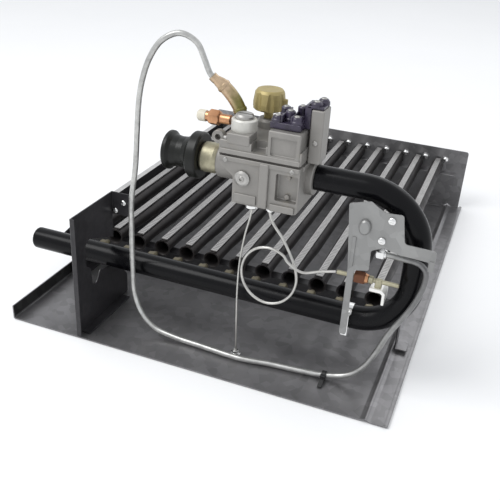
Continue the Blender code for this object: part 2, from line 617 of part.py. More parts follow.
def build_pilot_gear(galvanised, brass, copper, steel):
    t = SHEET
    y0, y1 = -256.6, -256.6 + t
    outline = [(159, 146), (159, 66), (166, 66), (166, 146), (181, 149), (180, 172), (192, 178),
               (211, 174), (238, 173), (238, 163), (244, 163), (244, 186), (212, 187), (207, 217),
               (189, 216), (180, 221), (174, 225), (152, 219)]
    plate = put("pilot_bracket", prism(outline, "Y", y0, y1), galvanised)
    boss = lathe([(0, y0 - 5), (5.0, y0 - 5), (6.5, y0 - 3), (6.5, y0 + 0.5), (0, y0 + 0.5)],
                 (171, 0, 0), "Y", 14)
    for vert in boss.verts:
        vert.co.z = 197.0 + 1.35 * vert.co.z
    for part in (boss, box((156, y1 - 0.2, 206), (184, y1 + 14, 206 + t))):
        combine(plate, [put("add", part, None)], "UNION")
    screw_pair("bracket_screws", plate, ((196.5, 0, 209), (189.5, 0, 185.6)), y0, t, 4.0, steel)

    ring = lathe([(PIPE_R + GAP, -3.5), (PIPE_R + 1.5, -3.5), (PIPE_R + 1.5, 3.5),
                  (PIPE_R + GAP, 3.5)], (163.5, PIPE_Y, PIPE_Z), "X", 16)
    strap = put("manifold_strap", ring, steel)
    ear = [(-254.8, PIPE_Z - 13), (-243.0, PIPE_Z - 9), (-243.0, PIPE_Z + 9), (-254.8, PIPE_Z + 13)]
    ear = prism(ear, "X", 160, 167)
    cut = lathe([(0, -9), (PIPE_R + GAP, -9), (PIPE_R + GAP, 9), (0, 9)],
                (163.5, PIPE_Y, PIPE_Z), "X", 20)
    ear = put("add", ear, None)
    combine(ear, [put("cut", cut, None)], "DIFFERENCE")
    combine(strap, [ear], "UNION")

    bar = put("pilot_burner", lathe([(0, 147), (2.4, 147), (2.4, 213), (0, 213)],
                                    (0, -250, PILOT_Z), "X", 12), brass)
    hood = prism([(184, 129.5), (197, 129.5), (201, 126), (201, 112), (198, 112), (198, 123.5),
                  (196, 125.5), (184, 125.5)], "Y", -256, -238)
    stem = box((189, -253, 127), (195, -247, PILOT_Z))
    for part in (stem, hood):
        combine(bar, [put("add", part, None)], "UNION")
    put("copper_nut", lathe([(3.2, 166.5), (6.0, 166.5), (7.0, 167.5), (7.0, 178), (5.4, 181), (3.2, 181)],
                            (0, -250, PILOT_Z), "X", 6), copper)


def build_leads(lead_mat, steel):
    cx, cz, r, ry = 75.0, 117.0, 31.0, 35.0
    knots = [(69, -252, 198.0), (69, -252, 187.5), (73.5, -253.5, 178), (88, -256, 161)]
    for k in range(0, 13):
        a = math.radians(28 - 30 * k)
        knots.append((cx + r * math.cos(a), -256.5 - 0.55 * k, cz + ry * math.sin(a)))
    knots = knots[:-1] + [(96, -263, 141), (112, -260, 131), (130, -254, 133.5),
                          (145.8, -250.3, PILOT_Z)]
    tube_object("thermocouple_lead", smooth_path(knots, 9), 1.5, lead_mat, 2)
    nut = [(2.4, 189.5), (4.6, 189.5), (5.4, 190.5), (5.4, 197), (3.6, 198.7), (2.4, 198.7)]
    put("thermocouple_nut", lathe(nut, (69, -252, 0), "Z", 6), steel)

    wire = [(52, -262, 197.5), (52, -262, 191), (50.5, -261.5, 181), (45, -259, 158),
            (40, -257, 122), (39, -257, 84),
            (40, -257, 46), (41, -257, 14), (41, -257, 4.4)]
    tube_object("earth_wire", smooth_path(wire, 9), 1.1, lead_mat, 2)
    put("earth_screw", lathe([(1.6, 194.6), (5.0, 194.6), (6.0, 195.6), (6.0, 198.7), (1.6, 198.7)],
                             (52, -262, 0), "Z", 12), steel)
    put("earth_lug", lathe([(1.6, SHEET + GAP), (6.5, SHEET + GAP), (6.5, 3.4), (4.0, 4.0),
                            (4.0, 7.0), (1.6, 7.0)], (41, -257, 0), "Z", 10), steel)


def main():
    for obj in list(bpy.data.objects):
        bpy.data.objects.remove(obj)
    galvanised = material("galvanised_sheet", (0.33, 0.33, 0.34), 0.9, 0.35)
    black = material("black_painted_sheet", (0.045, 0.045, 0.05), 0.3, 0.45)
    pipe_black = material("black_pipe", (0.015, 0.015, 0.017), 0.2, 0.3)
    burner_steel = material("burner_steel", (0.12, 0.115, 0.12), 0.7, 0.5)
    steel = material("bright_steel", (0.72, 0.72, 0.72), 1.0, 0.25)
    cast = material("cast_aluminium", (0.46, 0.44, 0.41), 0.7, 0.5)
    gasket = material("dark_gasket", (0.1, 0.095, 0.09), 0.0, 0.8)
    brass = material("brass", (0.66, 0.5, 0.24), 1.0, 0.35)
    copper = material("copper", (0.62, 0.32, 0.17), 1.0, 0.4)
    aluminium = material("soft_aluminium", (0.7, 0.7, 0.69), 1.0, 0.35)
    terminal = material("terminal_plastic", (0.06, 0.045, 0.075), 0.0, 0.35)
    lead = material("tinned_lead", (0.5, 0.49, 0.47), 0.8, 0.4)

    build_tray(galvanised)
    build_rear(galvanised, steel)
    build_rails(black)
    build_side_plate(black, steel)
    build_burners(burner_steel)
    build_manifold(pipe_black, brass)
    build_inlet(pipe_black, brass)
    build_valve(cast, gasket, steel)
    build_knob(brass)
    build_operator(cast, terminal, steel)
    build_pilot_take_off(brass, copper)
    build_pilot_line(aluminium, steel, pipe_black)
    build_pilot_gear(galvanised, brass, copper, steel)
    build_leads(lead, steel)


main()
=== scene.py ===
"""Looks of the gas burner assembly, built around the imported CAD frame.

Builders work in millimetres in the CAD's own frame: +X right, +Y to the rear, +Z up.
Places come from the boxes of the CAD nodes that each piece stands for, and those that
several pieces share are named below.
"""
import math

import bmesh
import bpy
from mathutils import Matrix, Vector


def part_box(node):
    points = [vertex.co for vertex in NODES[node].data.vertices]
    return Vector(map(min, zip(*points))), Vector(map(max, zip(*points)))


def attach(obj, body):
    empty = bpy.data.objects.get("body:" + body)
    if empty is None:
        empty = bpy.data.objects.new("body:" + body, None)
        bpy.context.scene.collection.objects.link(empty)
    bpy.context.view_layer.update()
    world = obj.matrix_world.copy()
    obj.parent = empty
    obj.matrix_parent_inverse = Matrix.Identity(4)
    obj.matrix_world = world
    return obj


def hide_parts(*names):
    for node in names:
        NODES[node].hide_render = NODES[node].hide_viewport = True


MM = 0.001
SHEET = 1.5
GAP = 0.3
FRAME_BODY = "burner_frame"

# Sheet metal, in mm
LEFT_RAIL_X, SIDE_PLATE_X, REAR_LEFT_X = -221.5, -141.0, -233.0
RIB_X = 208.5
ANGLE_FOOT = 13.0

# Gas valve, in mm
VALVE_LEFT, VALVE_RIGHT = 16.0, 103.0
VALVE_FRONT, VALVE_REAR = -270.0, -194.0
SUPPLY_Z = 229.0
PIPE_BORE, THREAD_BORE, GAS_BORE = 10.5, 13.65, 9.5
SEAT_X, OUTLET_X = 50.0, 80.0
TAP_AT = (43, 0, 228)
TOWER_AT = (35.3, -252, 0)
STUB_AT = (22, -226, 0)
COCK_AT = (45, -208, 0)
EAR_AT = (11, 0, 263.5)

# Pilot gear, in mm
PILOT_AT = (0, -250, 136)
TUBE_END_AT = (0, -247.2, 167)
BRANCH_AT = (0, -232, 273)
LEAD_NUT_AT = (69, -252, 0)
EARTH_SCREW_AT = (52, -262, 0)
EARTH_LUG_AT = (41, -257, 0)

# Camera: fitted to the object, with its place in metres and its angles in degrees
CAMERA_PLACE = (0.2857, -0.9066, 0.5083)
CAMERA_AZIMUTH = 19.84
CAMERA_ELEVATION = 27.97
CAMERA_ROLL = 3.58
FOCAL_PIXELS = 725.57
IMAGE_PIXELS = 500.0

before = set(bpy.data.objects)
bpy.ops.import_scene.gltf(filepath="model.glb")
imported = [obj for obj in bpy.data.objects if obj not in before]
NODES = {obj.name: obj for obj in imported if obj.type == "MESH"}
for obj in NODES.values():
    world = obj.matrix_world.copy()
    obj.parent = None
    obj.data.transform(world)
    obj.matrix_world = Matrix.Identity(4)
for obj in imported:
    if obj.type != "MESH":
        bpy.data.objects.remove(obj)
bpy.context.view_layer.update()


# ---------------------------------------------------------------- materials

class Nodes:
    """Short way to write a node tree."""

    def __init__(self, name):
        self.mat = bpy.data.materials.new(name)
        self.mat.use_nodes = True
        self.tree = self.mat.node_tree
        self.bsdf = self.tree.nodes["Principled BSDF"]
        coords = self.tree.nodes.new("ShaderNodeTexCoord")
        self.place = coords.outputs["Object"]

    def feed(self, socket, value):
        """Link a node's output to the socket, or set its value."""
        if isinstance(value, bpy.types.NodeSocket):
            self.tree.links.new(value, socket)
        else:
            socket.default_value = value

    def node(self, kind, inputs=None, **values):
        made = self.tree.nodes.new(kind)
        for key, value in values.items():
            setattr(made, key, value)
        for key, value in (inputs or {}).items():
            self.feed(made.inputs[key], value)
        return made

    def stretched(self, scale):
        return self.node("ShaderNodeMapping", {"Vector": self.place, "Scale": scale}).outputs[0]

    def noise(self, scale, detail=4.0, rough=0.55, stretch=(1, 1, 1), distortion=0.0):
        return self.node("ShaderNodeTexNoise", {
            "Vector": self.stretched(stretch), "Scale": scale, "Detail": detail,
            "Roughness": rough, "Distortion": distortion}).outputs["Fac"]

    def cells(self, scale):
        return self.node("ShaderNodeTexVoronoi", {
            "Vector": self.stretched((1, 1, 1)), "Scale": scale}).outputs["Color"]

    def ramp(self, fac, stops):
        made = self.node("ShaderNodeValToRGB", {"Fac": fac})
        ramp = made.color_ramp
        while len(ramp.elements) < len(stops):
            ramp.elements.new(0.5)
        for element, (place, color) in zip(ramp.elements, stops):
            element.position = place
            element.color = (*color, 1.0)
        return made.outputs["Color"]

    def map(self, value, lo, hi, from_lo=0.3, from_hi=0.7):
        return self.node("ShaderNodeMapRange", {
            "Value": value, "From Min": from_lo, "From Max": from_hi,
            "To Min": lo, "To Max": hi}).outputs["Result"]

    def mix(self, fac, a, b, blend="MIX"):
        a, b = (c if isinstance(c, bpy.types.NodeSocket) else (*c, 1.0) for c in (a, b))
        return self.node("ShaderNodeMix", {0: fac, 6: a, 7: b}, data_type="RGBA",
                         blend_type=blend).outputs[2]

    def edges(self, lo=0.52, hi=0.6):
        """1 on worn outer edges, 0 on flats."""
        point = self.node("ShaderNodeNewGeometry").outputs["Pointiness"]
        return self.map(point, 0.0, 1.0, lo, hi)

    def bump(self, *layers):
        """Layers are (height, strength, distance in mm)."""
        normal = None
        for height, strength, distance in layers:
            inputs = {"Height": height, "Strength": strength, "Distance": distance * MM}
            if normal is not None:
                inputs["Normal"] = normal
            normal = self.node("ShaderNodeBump", inputs).outputs["Normal"]
        self.tree.links.new(normal, self.bsdf.inputs["Normal"])

    def set(self, **values):
        """Principled inputs, with _ for a space in their names."""
        for key, value in values.items():
            self.feed(self.bsdf.inputs[key.replace("_", " ")], value)


def tint(color, factor):
    return tuple(min(1.0, c * factor) for c in color)


def sheet_metal(name, color, rough=(0.2, 0.34), metallic=0.95, spangle=0.22):
    """Zinc-coated sheet: faint crystal cells, rolling marks and handling smears."""
    n = Nodes(name)
    cells = n.node("ShaderNodeSeparateColor", {"Color": n.cells(95.0)}).outputs[0]
    smear = n.noise(9.0, 5.0, 0.6, (1, 0.35, 1), 0.6)
    rolling = n.noise(420.0, 3.0, 0.6, (1, 0.03, 1))
    base = n.ramp(smear, [(0.3, tint(color, 0.86)), (0.72, tint(color, 1.1))])
    grain = n.map(cells, 1.0 - spangle, 1.0 + spangle * 0.5, 0.0, 1.0)
    grey = n.node("ShaderNodeCombineColor", {"Red": grain, "Green": grain, "Blue": grain}).outputs[0]
    n.set(Base_Color=n.mix(1.0, base, grey, "MULTIPLY"), Metallic=metallic,
          Roughness=n.map(smear, *rough))
    n.bump((rolling, 0.10, 0.05), (n.noise(14.0, 2.0), 0.25, 0.5))
    return n.mat


def paint(name, color, worn, rough=(0.36, 0.5), coat=0.15, peel=0.3, shine=0.5):
    """Stoved paint with orange peel, a little dust and worn outer edges."""
    n = Nodes(name)
    dust = n.noise(22.0, 6.0, 0.65)
    base = n.ramp(dust, [(0.35, color), (0.75, tint(color, 1.7))])
    scuff = n.noise(160.0, 4.0, 0.7)
    wear = n.node("ShaderNodeMath", {0: n.edges(), 1: n.map(scuff, 0.0, 0.75, 0.4, 0.62)},
                  operation="MULTIPLY").outputs[0]
    n.set(Base_Color=n.mix(wear, base, worn), Roughness=n.map(dust, *rough),
          Specular_IOR_Level=shine, Coat_Weight=coat, Coat_Roughness=0.2)
    n.bump((n.noise(520.0, 2.0), peel, 0.12), (n.noise(40.0, 2.0), 0.15, 0.2))
    return n.mat


def casting(name, color, metallic=0.45, rough=(0.42, 0.58), stain=(0.30, 0.27, 0.22)):
    """Die casting: fine blasted grain, flow marks and grime in patches."""
    n = Nodes(name)
    flow = n.noise(28.0, 5.0, 0.6, distortion=0.8)
    grain = n.noise(900.0, 2.0, 0.5)
    base = n.ramp(flow, [(0.28, tint(color, 0.84)), (0.74, tint(color, 1.14))])
    grime = n.map(n.noise(60.0, 6.0, 0.7), 0.0, 0.55, 0.56, 0.74)
    tone = n.mix(grime, base, stain)
    n.set(Base_Color=n.mix(n.map(n.edges(), 0.0, 0.35, 0.0, 1.0), tone, tint(color, 1.5)),
          Metallic=metallic, Roughness=n.map(flow, *rough))
    n.bump((grain, 0.35, 0.09), (n.noise(120.0, 3.0), 0.3, 0.15))
    return n.mat


def bare_metal(name, color, rough, tarnish):
    """Turned or drawn metal with fine tool marks and patchy tarnish."""
    n = Nodes(name)
    patch = n.noise(70.0, 5.0, 0.65)
    base = n.ramp(patch, [(0.32, tint(color, tarnish)), (0.7, color)])
    marks = n.noise(300.0, 2.0, 0.5)
    n.set(Base_Color=base, Metallic=1.0, Roughness=n.map(patch, rough[1], rough[0]))
    n.bump((marks, 0.18, 0.06))
    return n.mat


def heat_tinted(name, color, tinted):
    """Stamped burner steel, browned and blued in bands along its length."""
    n = Nodes(name)
    band = n.noise(7.0, 4.0, 0.6, (1, 2.2, 1), 0.5)
    soot = n.noise(55.0, 6.0, 0.7)
    base = n.ramp(band, [(0.3, color), (0.5, tinted), (0.72, tint(color, 1.35))])
    n.set(Base_Color=n.mix(n.map(soot, 0.0, 0.5, 0.45, 0.75), base, tint(color, 0.45)),
          Metallic=0.55, Roughness=n.map(soot, 0.42, 0.6))
    n.bump((n.noise(260.0, 3.0), 0.2, 0.08), (n.noise(30.0, 2.0), 0.2, 0.3))
    return n.mat


def moulded(name, color, rough=(0.28, 0.42), mottle=1.6):
    """Moulded plastic with a faint sink pattern and dust."""
    n = Nodes(name)
    cloud = n.noise(80.0, 5.0, 0.6)
    base = n.ramp(cloud, [(0.35, color), (0.75, tint(color, mottle))])
    n.set(Base_Color=base, Roughness=n.map(cloud, *rough), Specular_IOR_Level=0.5)
    n.bump((n.noise(700.0, 2.0), 0.15, 0.05))
    return n.mat


def two_tone(name, left, right, start, end, rough=(0.25, 0.4)):
    """Metal whose colour shifts from one colour to another along X, from start to end in mm; on the pilot
    tube the darker end is painted shade.
    """
    n = Nodes(name)
    x = n.node("ShaderNodeSeparateXYZ", {"Vector": n.place}).outputs[0]
    patch = n.noise(120.0, 4.0, 0.6)
    drift = n.map(patch, -0.002, 0.002)
    place = n.node("ShaderNodeMath", {0: x, 1: drift}, operation="ADD").outputs[0]
    fac = n.map(place, 0.0, 1.0, start * MM, end * MM)
    base = n.mix(fac, left, right)
    n.set(Base_Color=n.mix(n.map(patch, 0.0, 0.4), base, tint(right, 0.55)), Metallic=0.85,
          Roughness=n.map(patch, *rough))
    n.bump((n.noise(300.0, 3.0), 0.2, 0.08))
    return n.mat


def plain_stage(name, color):
    n = Nodes(name)
    n.set(Base_Color=n.ramp(n.noise(3.0), [(0.3, tint(color, 0.985)), (0.7, color)]),
          Roughness=0.9, Specular_IOR_Level=0.1)
    return n.mat


M = {
    "tray": sheet_metal("tray_zinc", (0.26, 0.255, 0.26), (0.30, 0.42), 0.78, 0.16),
    "panel": sheet_metal("panel_zinc", (0.33, 0.325, 0.33), (0.34, 0.48)),
    "bracket": sheet_metal("bracket_zinc", (0.30, 0.30, 0.295), (0.36, 0.5), 0.7, 0.12),
    # light sheet metal for the black rail's top flange: painted highlight along its top edge
    "rail_top_painted_highlight": sheet_metal("rail_top_painted_highlight_sheet", (0.60, 0.59, 0.58), (0.3, 0.45), 0.8, 0.1),
    "hood": sheet_metal("hood_steel", (0.86, 0.85, 0.82), (0.3, 0.42), 0.6, 0.05),
    "black": paint("charcoal_paint", (0.016, 0.015, 0.017), (0.05, 0.05, 0.05), shine=0.3),
    "pipe": paint("pipe_lacquer", (0.0022, 0.0022, 0.0028), (0.007, 0.007, 0.009), (0.22, 0.30),
                  coat=0.0, peel=0.18, shine=0.16),
    "coupling": paint("coupling_lacquer", (0.006, 0.0065, 0.0055), (0.045, 0.045, 0.038), (0.3, 0.42),
                      coat=0.0, peel=0.4, shine=0.3),
    "burner": heat_tinted("burner_steel", (0.026, 0.024, 0.026), (0.030, 0.026, 0.025)),
    "ribbon": bare_metal("ribbon_steel", (0.50, 0.49, 0.48), (0.38, 0.52), tarnish=0.85),
    "bright": bare_metal("bright_steel", (0.86, 0.86, 0.85), (0.12, 0.24), tarnish=0.85),
    "cast": casting("die_cast", (0.255, 0.245, 0.23)),
    "gasket": moulded("gasket_fibre", (0.06, 0.055, 0.05), (0.75, 0.9)),
    "brass": bare_metal("brass", (0.20, 0.175, 0.12), (0.34, 0.5), tarnish=0.6),
    "pale_brass": bare_metal("pale_brass", (0.50, 0.47, 0.34), (0.42, 0.58), tarnish=0.6),
    "dull_steel": bare_metal("dull_steel", (0.50, 0.49, 0.47), (0.34, 0.48), tarnish=0.7),
    # lighter copy of the valve casting for the regulator tower collar: painted highlight on the lit tower
    "cast_painted_highlight": casting("cast_painted_highlight", (0.62, 0.61, 0.57)),
    # dark copy of the tray zinc for the inner face of the left lip: painted shade
    "tray_lip_painted_shade": sheet_metal("tray_lip_painted_shade_zinc", (0.10, 0.10, 0.10), (0.3, 0.42)),
    "knob": casting("knob_lacquer", (0.36, 0.29, 0.12), 0.35, (0.34, 0.5), (0.17, 0.13, 0.05)),
    "copper": bare_metal("copper", (0.66, 0.35, 0.19), (0.28, 0.42), tarnish=0.6),
    "rust": casting("rusted_nut", (0.12, 0.045, 0.020), 0.4, (0.5, 0.7), (0.08, 0.03, 0.02)),
    "elbow": two_tone("elbow_metal", (0.60, 0.44, 0.30), (0.22, 0.20, 0.07), 6.0, 20.0),
    "cream": moulded("cream_insulator", (0.62, 0.58, 0.48), (0.4, 0.55), 1.15),
    # pilot tube: light aluminium darkened from X 175 to 232 mm, painted shade on its run by the manifold
    # riser
    "tube": two_tone("drawn_aluminium_painted_shade", (0.58, 0.58, 0.56), (0.20, 0.20, 0.20), 175.0, 232.0, (0.28, 0.42)),
    "terminal": moulded("terminal_plastic", (0.022, 0.018, 0.032), (0.22, 0.36), 2.6),
    "plastic": moulded("black_plastic", (0.010, 0.010, 0.010), (0.4, 0.55)),
    "lead": bare_metal("tinned_lead", (0.62, 0.61, 0.58), (0.32, 0.45), tarnish=0.8),
}


# ------------------------------------------------------------- mesh helpers

def span(node):
    """Lowest and highest corner of a CAD node, in mm."""
    lo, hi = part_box(node)
    return lo / MM, hi / MM


def middle(node):
    lo, hi = span(node)
    return (lo + hi) / 2


def rounded(points, radius, closed=True, steps=4):
    """Outline with arcs for corners; radius is one value, or one per corner."""
    count = len(points)
    radii = radius if isinstance(radius, (list, tuple)) else [radius] * count
    out = []
    for i, r in enumerate(radii):
        here = Vector(points[i])
        a = Vector(points[i - 1]) - here
        b = Vector(points[(i + 1) % count]) - here
        open_end = not closed and i in (0, count - 1)
        if r <= 0 or open_end or a.angle(b) > math.radians(176):
            out.append(tuple(here))
            continue
        half = a.angle(b) / 2
        reach = min(r / math.tan(half), a.length * 0.49, b.length * 0.49)
        r = reach * math.tan(half)
        a.normalize()
        b.normalize()
        centre = here + (a + b).normalized() * (r / math.sin(half))
        first, last = here + a * reach - centre, here + b * reach - centre
        for k in range(steps + 1):
            spoke = first.lerp(last, k / steps).normalized() * r
            out.append(tuple(centre + spoke))
    return out


def bar(low, high, radius, steps=4):
    """Outline of a rectangle between two corners; radii run round from the low one."""
    return rounded([low, (high[0], low[1]), high, (low[0], high[1])], radius, steps=steps)


def soften(bm, width, segments=2, angle=40.0):
    """Bevel every edge that turns by more than the angle."""
    sharp = [e for e in bm.edges if len(e.link_faces) == 2
             and e.calc_face_angle(0.0) > math.radians(angle)]
    bmesh.ops.bevel(bm, geom=sharp, offset=width, segments=segments, profile=0.5,
                    affect="EDGES", clamp_overlap=True)
    return bm


def block(lo, hi, edge=0.8, segments=3):
    """Box with rounded edges."""
    bm = bmesh.new()
    size = [hi[i] - lo[i] for i in range(3)]
    for vert in bmesh.ops.create_cube(bm, size=1.0)["verts"]:
        vert.co = Vector([(vert.co[i] + 0.5) * size[i] + lo[i] for i in range(3)])
    if edge > 0:
        soften(bm, min(edge, min(size) * 0.45), segments)
    return bm


def wall_between(bm, low, high):
    """Faces from one ring of vertices to the next."""
    for i in range(len(low)):
        j = (i + 1) % len(low)
        bm.faces.new((low[i], low[j], high[j], high[i]))


def outward(bm):
    bmesh.ops.recalc_face_normals(bm, faces=bm.faces)
    return bm


def prism(points, axis, lo, hi, edge=0.0):
    """Extrude an outline, given in the two other axes, along `axis` from lo to hi."""
    bm = bmesh.new()

    def place(point, level):
        spot = list(point)
        spot.insert("XYZ".index(axis), level)
        return spot

    rings = [[bm.verts.new(place(p, level)) for p in points] for level in (lo, hi)]
    caps = [bm.faces.new(ring) for ring in rings]
    wall_between(bm, *rings)
    outward(bm)
    if edge > 0:
        rim = list({e for cap in caps for e in cap.edges})
        bmesh.ops.bevel(bm, geom=rim, offset=edge, segments=2, profile=0.5, affect="EDGES",
                        clamp_overlap=True)
    return bm


TURN = {"X": Matrix.Rotation(math.pi / 2, 3, "Y"), "Y": Matrix.Rotation(-math.pi / 2, 3, "X"),
        "Z": Matrix.Identity(3)}


def hexagon(angle):
    """How far a hexagon's side lies at this angle, for flats 1 from the middle."""
    return 1.0 / math.cos(angle % (math.pi / 3) - math.pi / 6)


def lathe(profile, centre, axis="Z", segments=48):
    """Spin (radius, height) pairs; a third value of "hex" makes that ring six-sided."""
    bm = bmesh.new()
    centre = Vector(centre)
    rings = []
    for radius, height, *kind in profile:
        if radius <= 0:
            rings.append([bm.verts.new(centre + TURN[axis] @ Vector((0, 0, height)))])
            continue
        ring = []
        for k in range(segments):
            angle = 2 * math.pi * k / segments
            r = radius * hexagon(angle) if kind else radius
            spoke = Vector((r * math.cos(angle), r * math.sin(angle), height))
            ring.append(bm.verts.new(centre + TURN[axis] @ spoke))
        rings.append(ring)
    pairs = list(zip(rings, rings[1:]))
    if len(rings[0]) > 1:
        pairs.append((rings[-1], rings[0]))
    for a, b in pairs:
        for k in range(segments):
            n = (k + 1) % segments
            corner = []
            for vert in (a[k % len(a)], a[n % len(a)], b[n % len(b)], b[k % len(b)]):
                if vert not in corner:
                    corner.append(vert)
            if len(corner) > 2:
                bm.faces.new(corner)
    return outward(bm)


def turned(profile, centre, axis="Z", fillet=0.5, segments=48):
    """Lathe a profile whose corners are rounded; it starts and ends on the axis or closes."""
    solid = profile[0][0] <= 0
    return lathe(rounded(profile, fillet, closed=not solid, steps=3), centre, axis, segments)


def rod(radius, start, end, centre, axis="Z", segments=32, fillet=0.0):
    """Solid cylinder between two heights along its axis."""
    profile = [(0, start), (radius, start), (radius, end), (0, end)]
    return turned(profile, centre, axis, fillet, segments)


def nut(centre, axis, start, end, flat, bore):
    """Hexagon nut with chamfered ends, from start to end along its axis."""
    c = flat * 0.13
    profile = [(bore, start), (flat * 0.97, start), (flat, start + c, "hex"),
               (flat, end - c, "hex"), (flat * 0.97, end), (bore, end)]
    return lathe(profile, centre, axis, 48)


def pan_screw(centre, axis, seat, top, radius, way=-1, slot=True):
    """Domed screw head whose seat and top are heights along the axis."""
    rise = abs(top - seat)
    dome = []
    for angle in range(0, 90, 15):
        a = math.radians(angle)
        dome.append((radius * math.cos(a), seat + way * rise * (0.35 + 0.65 * math.sin(a))))
    head = lathe([(0, seat), (radius * 0.98, seat)] + dome + [(0, seat + way * rise)], centre, axis, 40)
    if not slot:
        return head
    cut = block((-radius * 1.2, -0.55, -0.6), (radius * 1.2, 0.55, 0.6), 0.0)
    offset = Vector(centre) + TURN[axis] @ Vector((0, 0, seat + way * rise))
    for vert in cut.verts:
        vert.co = TURN[axis] @ vert.co + offset
    return boolean(head, [cut])


def cross_frames(points):
    side = (points[1] - points[0]).orthogonal().normalized()
    out = []
    for i in range(len(points)):
        tangent = (points[min(i + 1, len(points) - 1)] - points[max(i - 1, 0)]).normalized()
        side = (side - tangent * side.dot(tangent)).normalized()
        out.append((side.copy(), tangent.cross(side)))
    return out


def sweep(points, radius, segments, bore=0.0):
    """Bar, or tube open at both ends, along a path; radius may be a function of the index."""
    bm = bmesh.new()
    points = [Vector(p) for p in points]
    size = radius if callable(radius) else (lambda i: radius)

    def skin(width):
        rings = []
        for i, (u, v) in enumerate(cross_frames(points)):
            r = width(i)
            rings.append([bm.verts.new(points[i] + (u * math.cos(a) + v * math.sin(a)) * r)
                          for a in (2 * math.pi * k / segments for k in range(segments))])
        for a, b in zip(rings, rings[1:]):
            wall_between(bm, a, b)
        return rings[0], rings[-1]

    ends = skin(size)
    if bore:
        for outer, inner in zip(ends, skin(lambda i: bore)):
            wall_between(bm, outer, inner)
    else:
        for ring in ends:
            bm.faces.new(ring)
    return outward(bm)


def smooth_path(knots, step):
    """Points along a smooth curve through the knots, about `step` apart."""
    knots = [Vector(k) for k in knots]
    ends = [knots[0] * 2 - knots[1]] + knots + [knots[-1] * 2 - knots[-2]]
    out = []
    for i in range(1, len(ends) - 2):
        p0, p1, p2, p3 = ends[i - 1:i + 3]
        t01 = max((p1 - p0).length, 1e-6) ** 0.5
        t12 = max((p2 - p1).length, 1e-6) ** 0.5
        t23 = max((p3 - p2).length, 1e-6) ** 0.5
        m1 = (p2 - p1) + ((p1 - p0) / t01 - (p2 - p0) / (t01 + t12)) * t12
        m2 = (p2 - p1) + ((p3 - p2) / t23 - (p3 - p1) / (t12 + t23)) * t12
        count = max(1, round((p2 - p1).length / step))
        for k in range(count):
            t = k / count
            out.append((2 * t ** 3 - 3 * t ** 2 + 1) * p1 + (t ** 3 - 2 * t ** 2 + t) * m1
                       + (-2 * t ** 3 + 3 * t ** 2) * p2 + (t ** 3 - t ** 2) * m2)
    out.append(knots[-1])
    return out


def shift(bm, offset):
    for vert in bm.verts:
        vert.co += Vector(offset)
    return bm


def mesh_of(bm, name):
    mesh = bpy.data.meshes.new(name)
    bm.to_mesh(mesh)
    bm.free()
    return mesh


def linked(name, data):
    obj = bpy.data.objects.new(name, data)
    bpy.context.collection.objects.link(obj)
    return obj


def boolean(base, tools, operation="DIFFERENCE"):
    """The base cut by, or joined with, the tools. All are bmeshes, and one is given back."""
    obj, *helpers = [linked("temporary", mesh_of(bm, "temporary")) for bm in [base] + tools]
    for helper in helpers:
        mod = obj.modifiers.new("op", "BOOLEAN")
        mod.operation = operation
        mod.solver = "EXACT"
        mod.object = helper
    graph = bpy.context.evaluated_depsgraph_get()
    mesh = obj.evaluated_get(graph).to_mesh()
    out = bmesh.new()
    out.from_mesh(mesh)
    for helper in [obj] + helpers:
        old = helper.data
        bpy.data.objects.remove(helper)
        bpy.data.meshes.remove(old)
    bmesh.ops.remove_doubles(out, verts=out.verts, dist=0.002)
    bmesh.ops.dissolve_degenerate(out, edges=out.edges, dist=0.002)
    return out


def carved(base, adds, cuts):
    return boolean(boolean(base, adds, "UNION"), cuts)


def sheet_screw(at, head, shank, end):
    """Screw through a sheet whose face is at `at`, driven towards +Y."""
    return [(pan_screw(at, "Y", -GAP, -3.2, head), "bright"),
            (rod(shank, -GAP, end, at, "Y", 20), "bright")]


def piece(name, parts, nodes, body=FRAME_BODY, sharp=38.0):
    """Join (bmesh in mm, material key) parts into one object that stands for CAD nodes."""
    keys = []
    for _, key in parts:
        if key not in keys:
            keys.append(key)
    joined = bmesh.new()
    for bm, key in parts:
        mesh = mesh_of(bm, "part")
        for face in mesh.polygons:
            face.material_index = keys.index(key)
        joined.from_mesh(mesh)
        bpy.data.meshes.remove(mesh)
    for vert in joined.verts:
        vert.co *= MM
    mesh = mesh_of(joined, name)
    for key in keys:
        mesh.materials.append(M[key])
    mesh.shade_smooth()
    mesh.set_sharp_from_angle(angle=math.radians(sharp))
    obj = linked(name, mesh)
    level = obj.modifiers.new("normals", "WEIGHTED_NORMAL")
    level.keep_sharp = True
    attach(obj, body)
    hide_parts(*nodes)


# ---------------------------------------------------------------- sheet metal

def build_tray():
    lo, hi = span("base_tray")
    t = SHEET
    rib = [(RIB_X - 5.5, 0), (RIB_X - 2.5, 1.1), (RIB_X, 2.6), (RIB_X + 2.5, 1.1), (RIB_X + 5.5, 0)]
    under = [(lo.x, 0)] + rib + [(hi.x, 0), (hi.x, 3.2), (hi.x - 4, 3.2), (hi.x - 4, t)]
    upper = [(x, z + t) for x, z in reversed(rib)] + [(lo.x + t, t), (lo.x + t, hi.z), (lo.x, hi.z)]
    radii = [2.2] + [3.0] * 5 + [1.4, 1.4, 0.3, 0.0] + [3.0] * 5 + [1.0, 0.6, 0.6]
    outline = rounded(under + upper, radii)
    # thin dark skin over the left lip's inner face: painted shade for the shadow on that face
    skin = prism(bar((lo.x + t, t + 2.5), (lo.x + t + 0.25, hi.z - 0.4), 0.0), "Y", lo.y + 0.6, hi.y - 0.6)
    piece("tray_sheet", [(prism(outline, "Y", lo.y, hi.y, 0.3), "tray"), (skin, "tray_lip_painted_shade")],
          ["base_tray"])


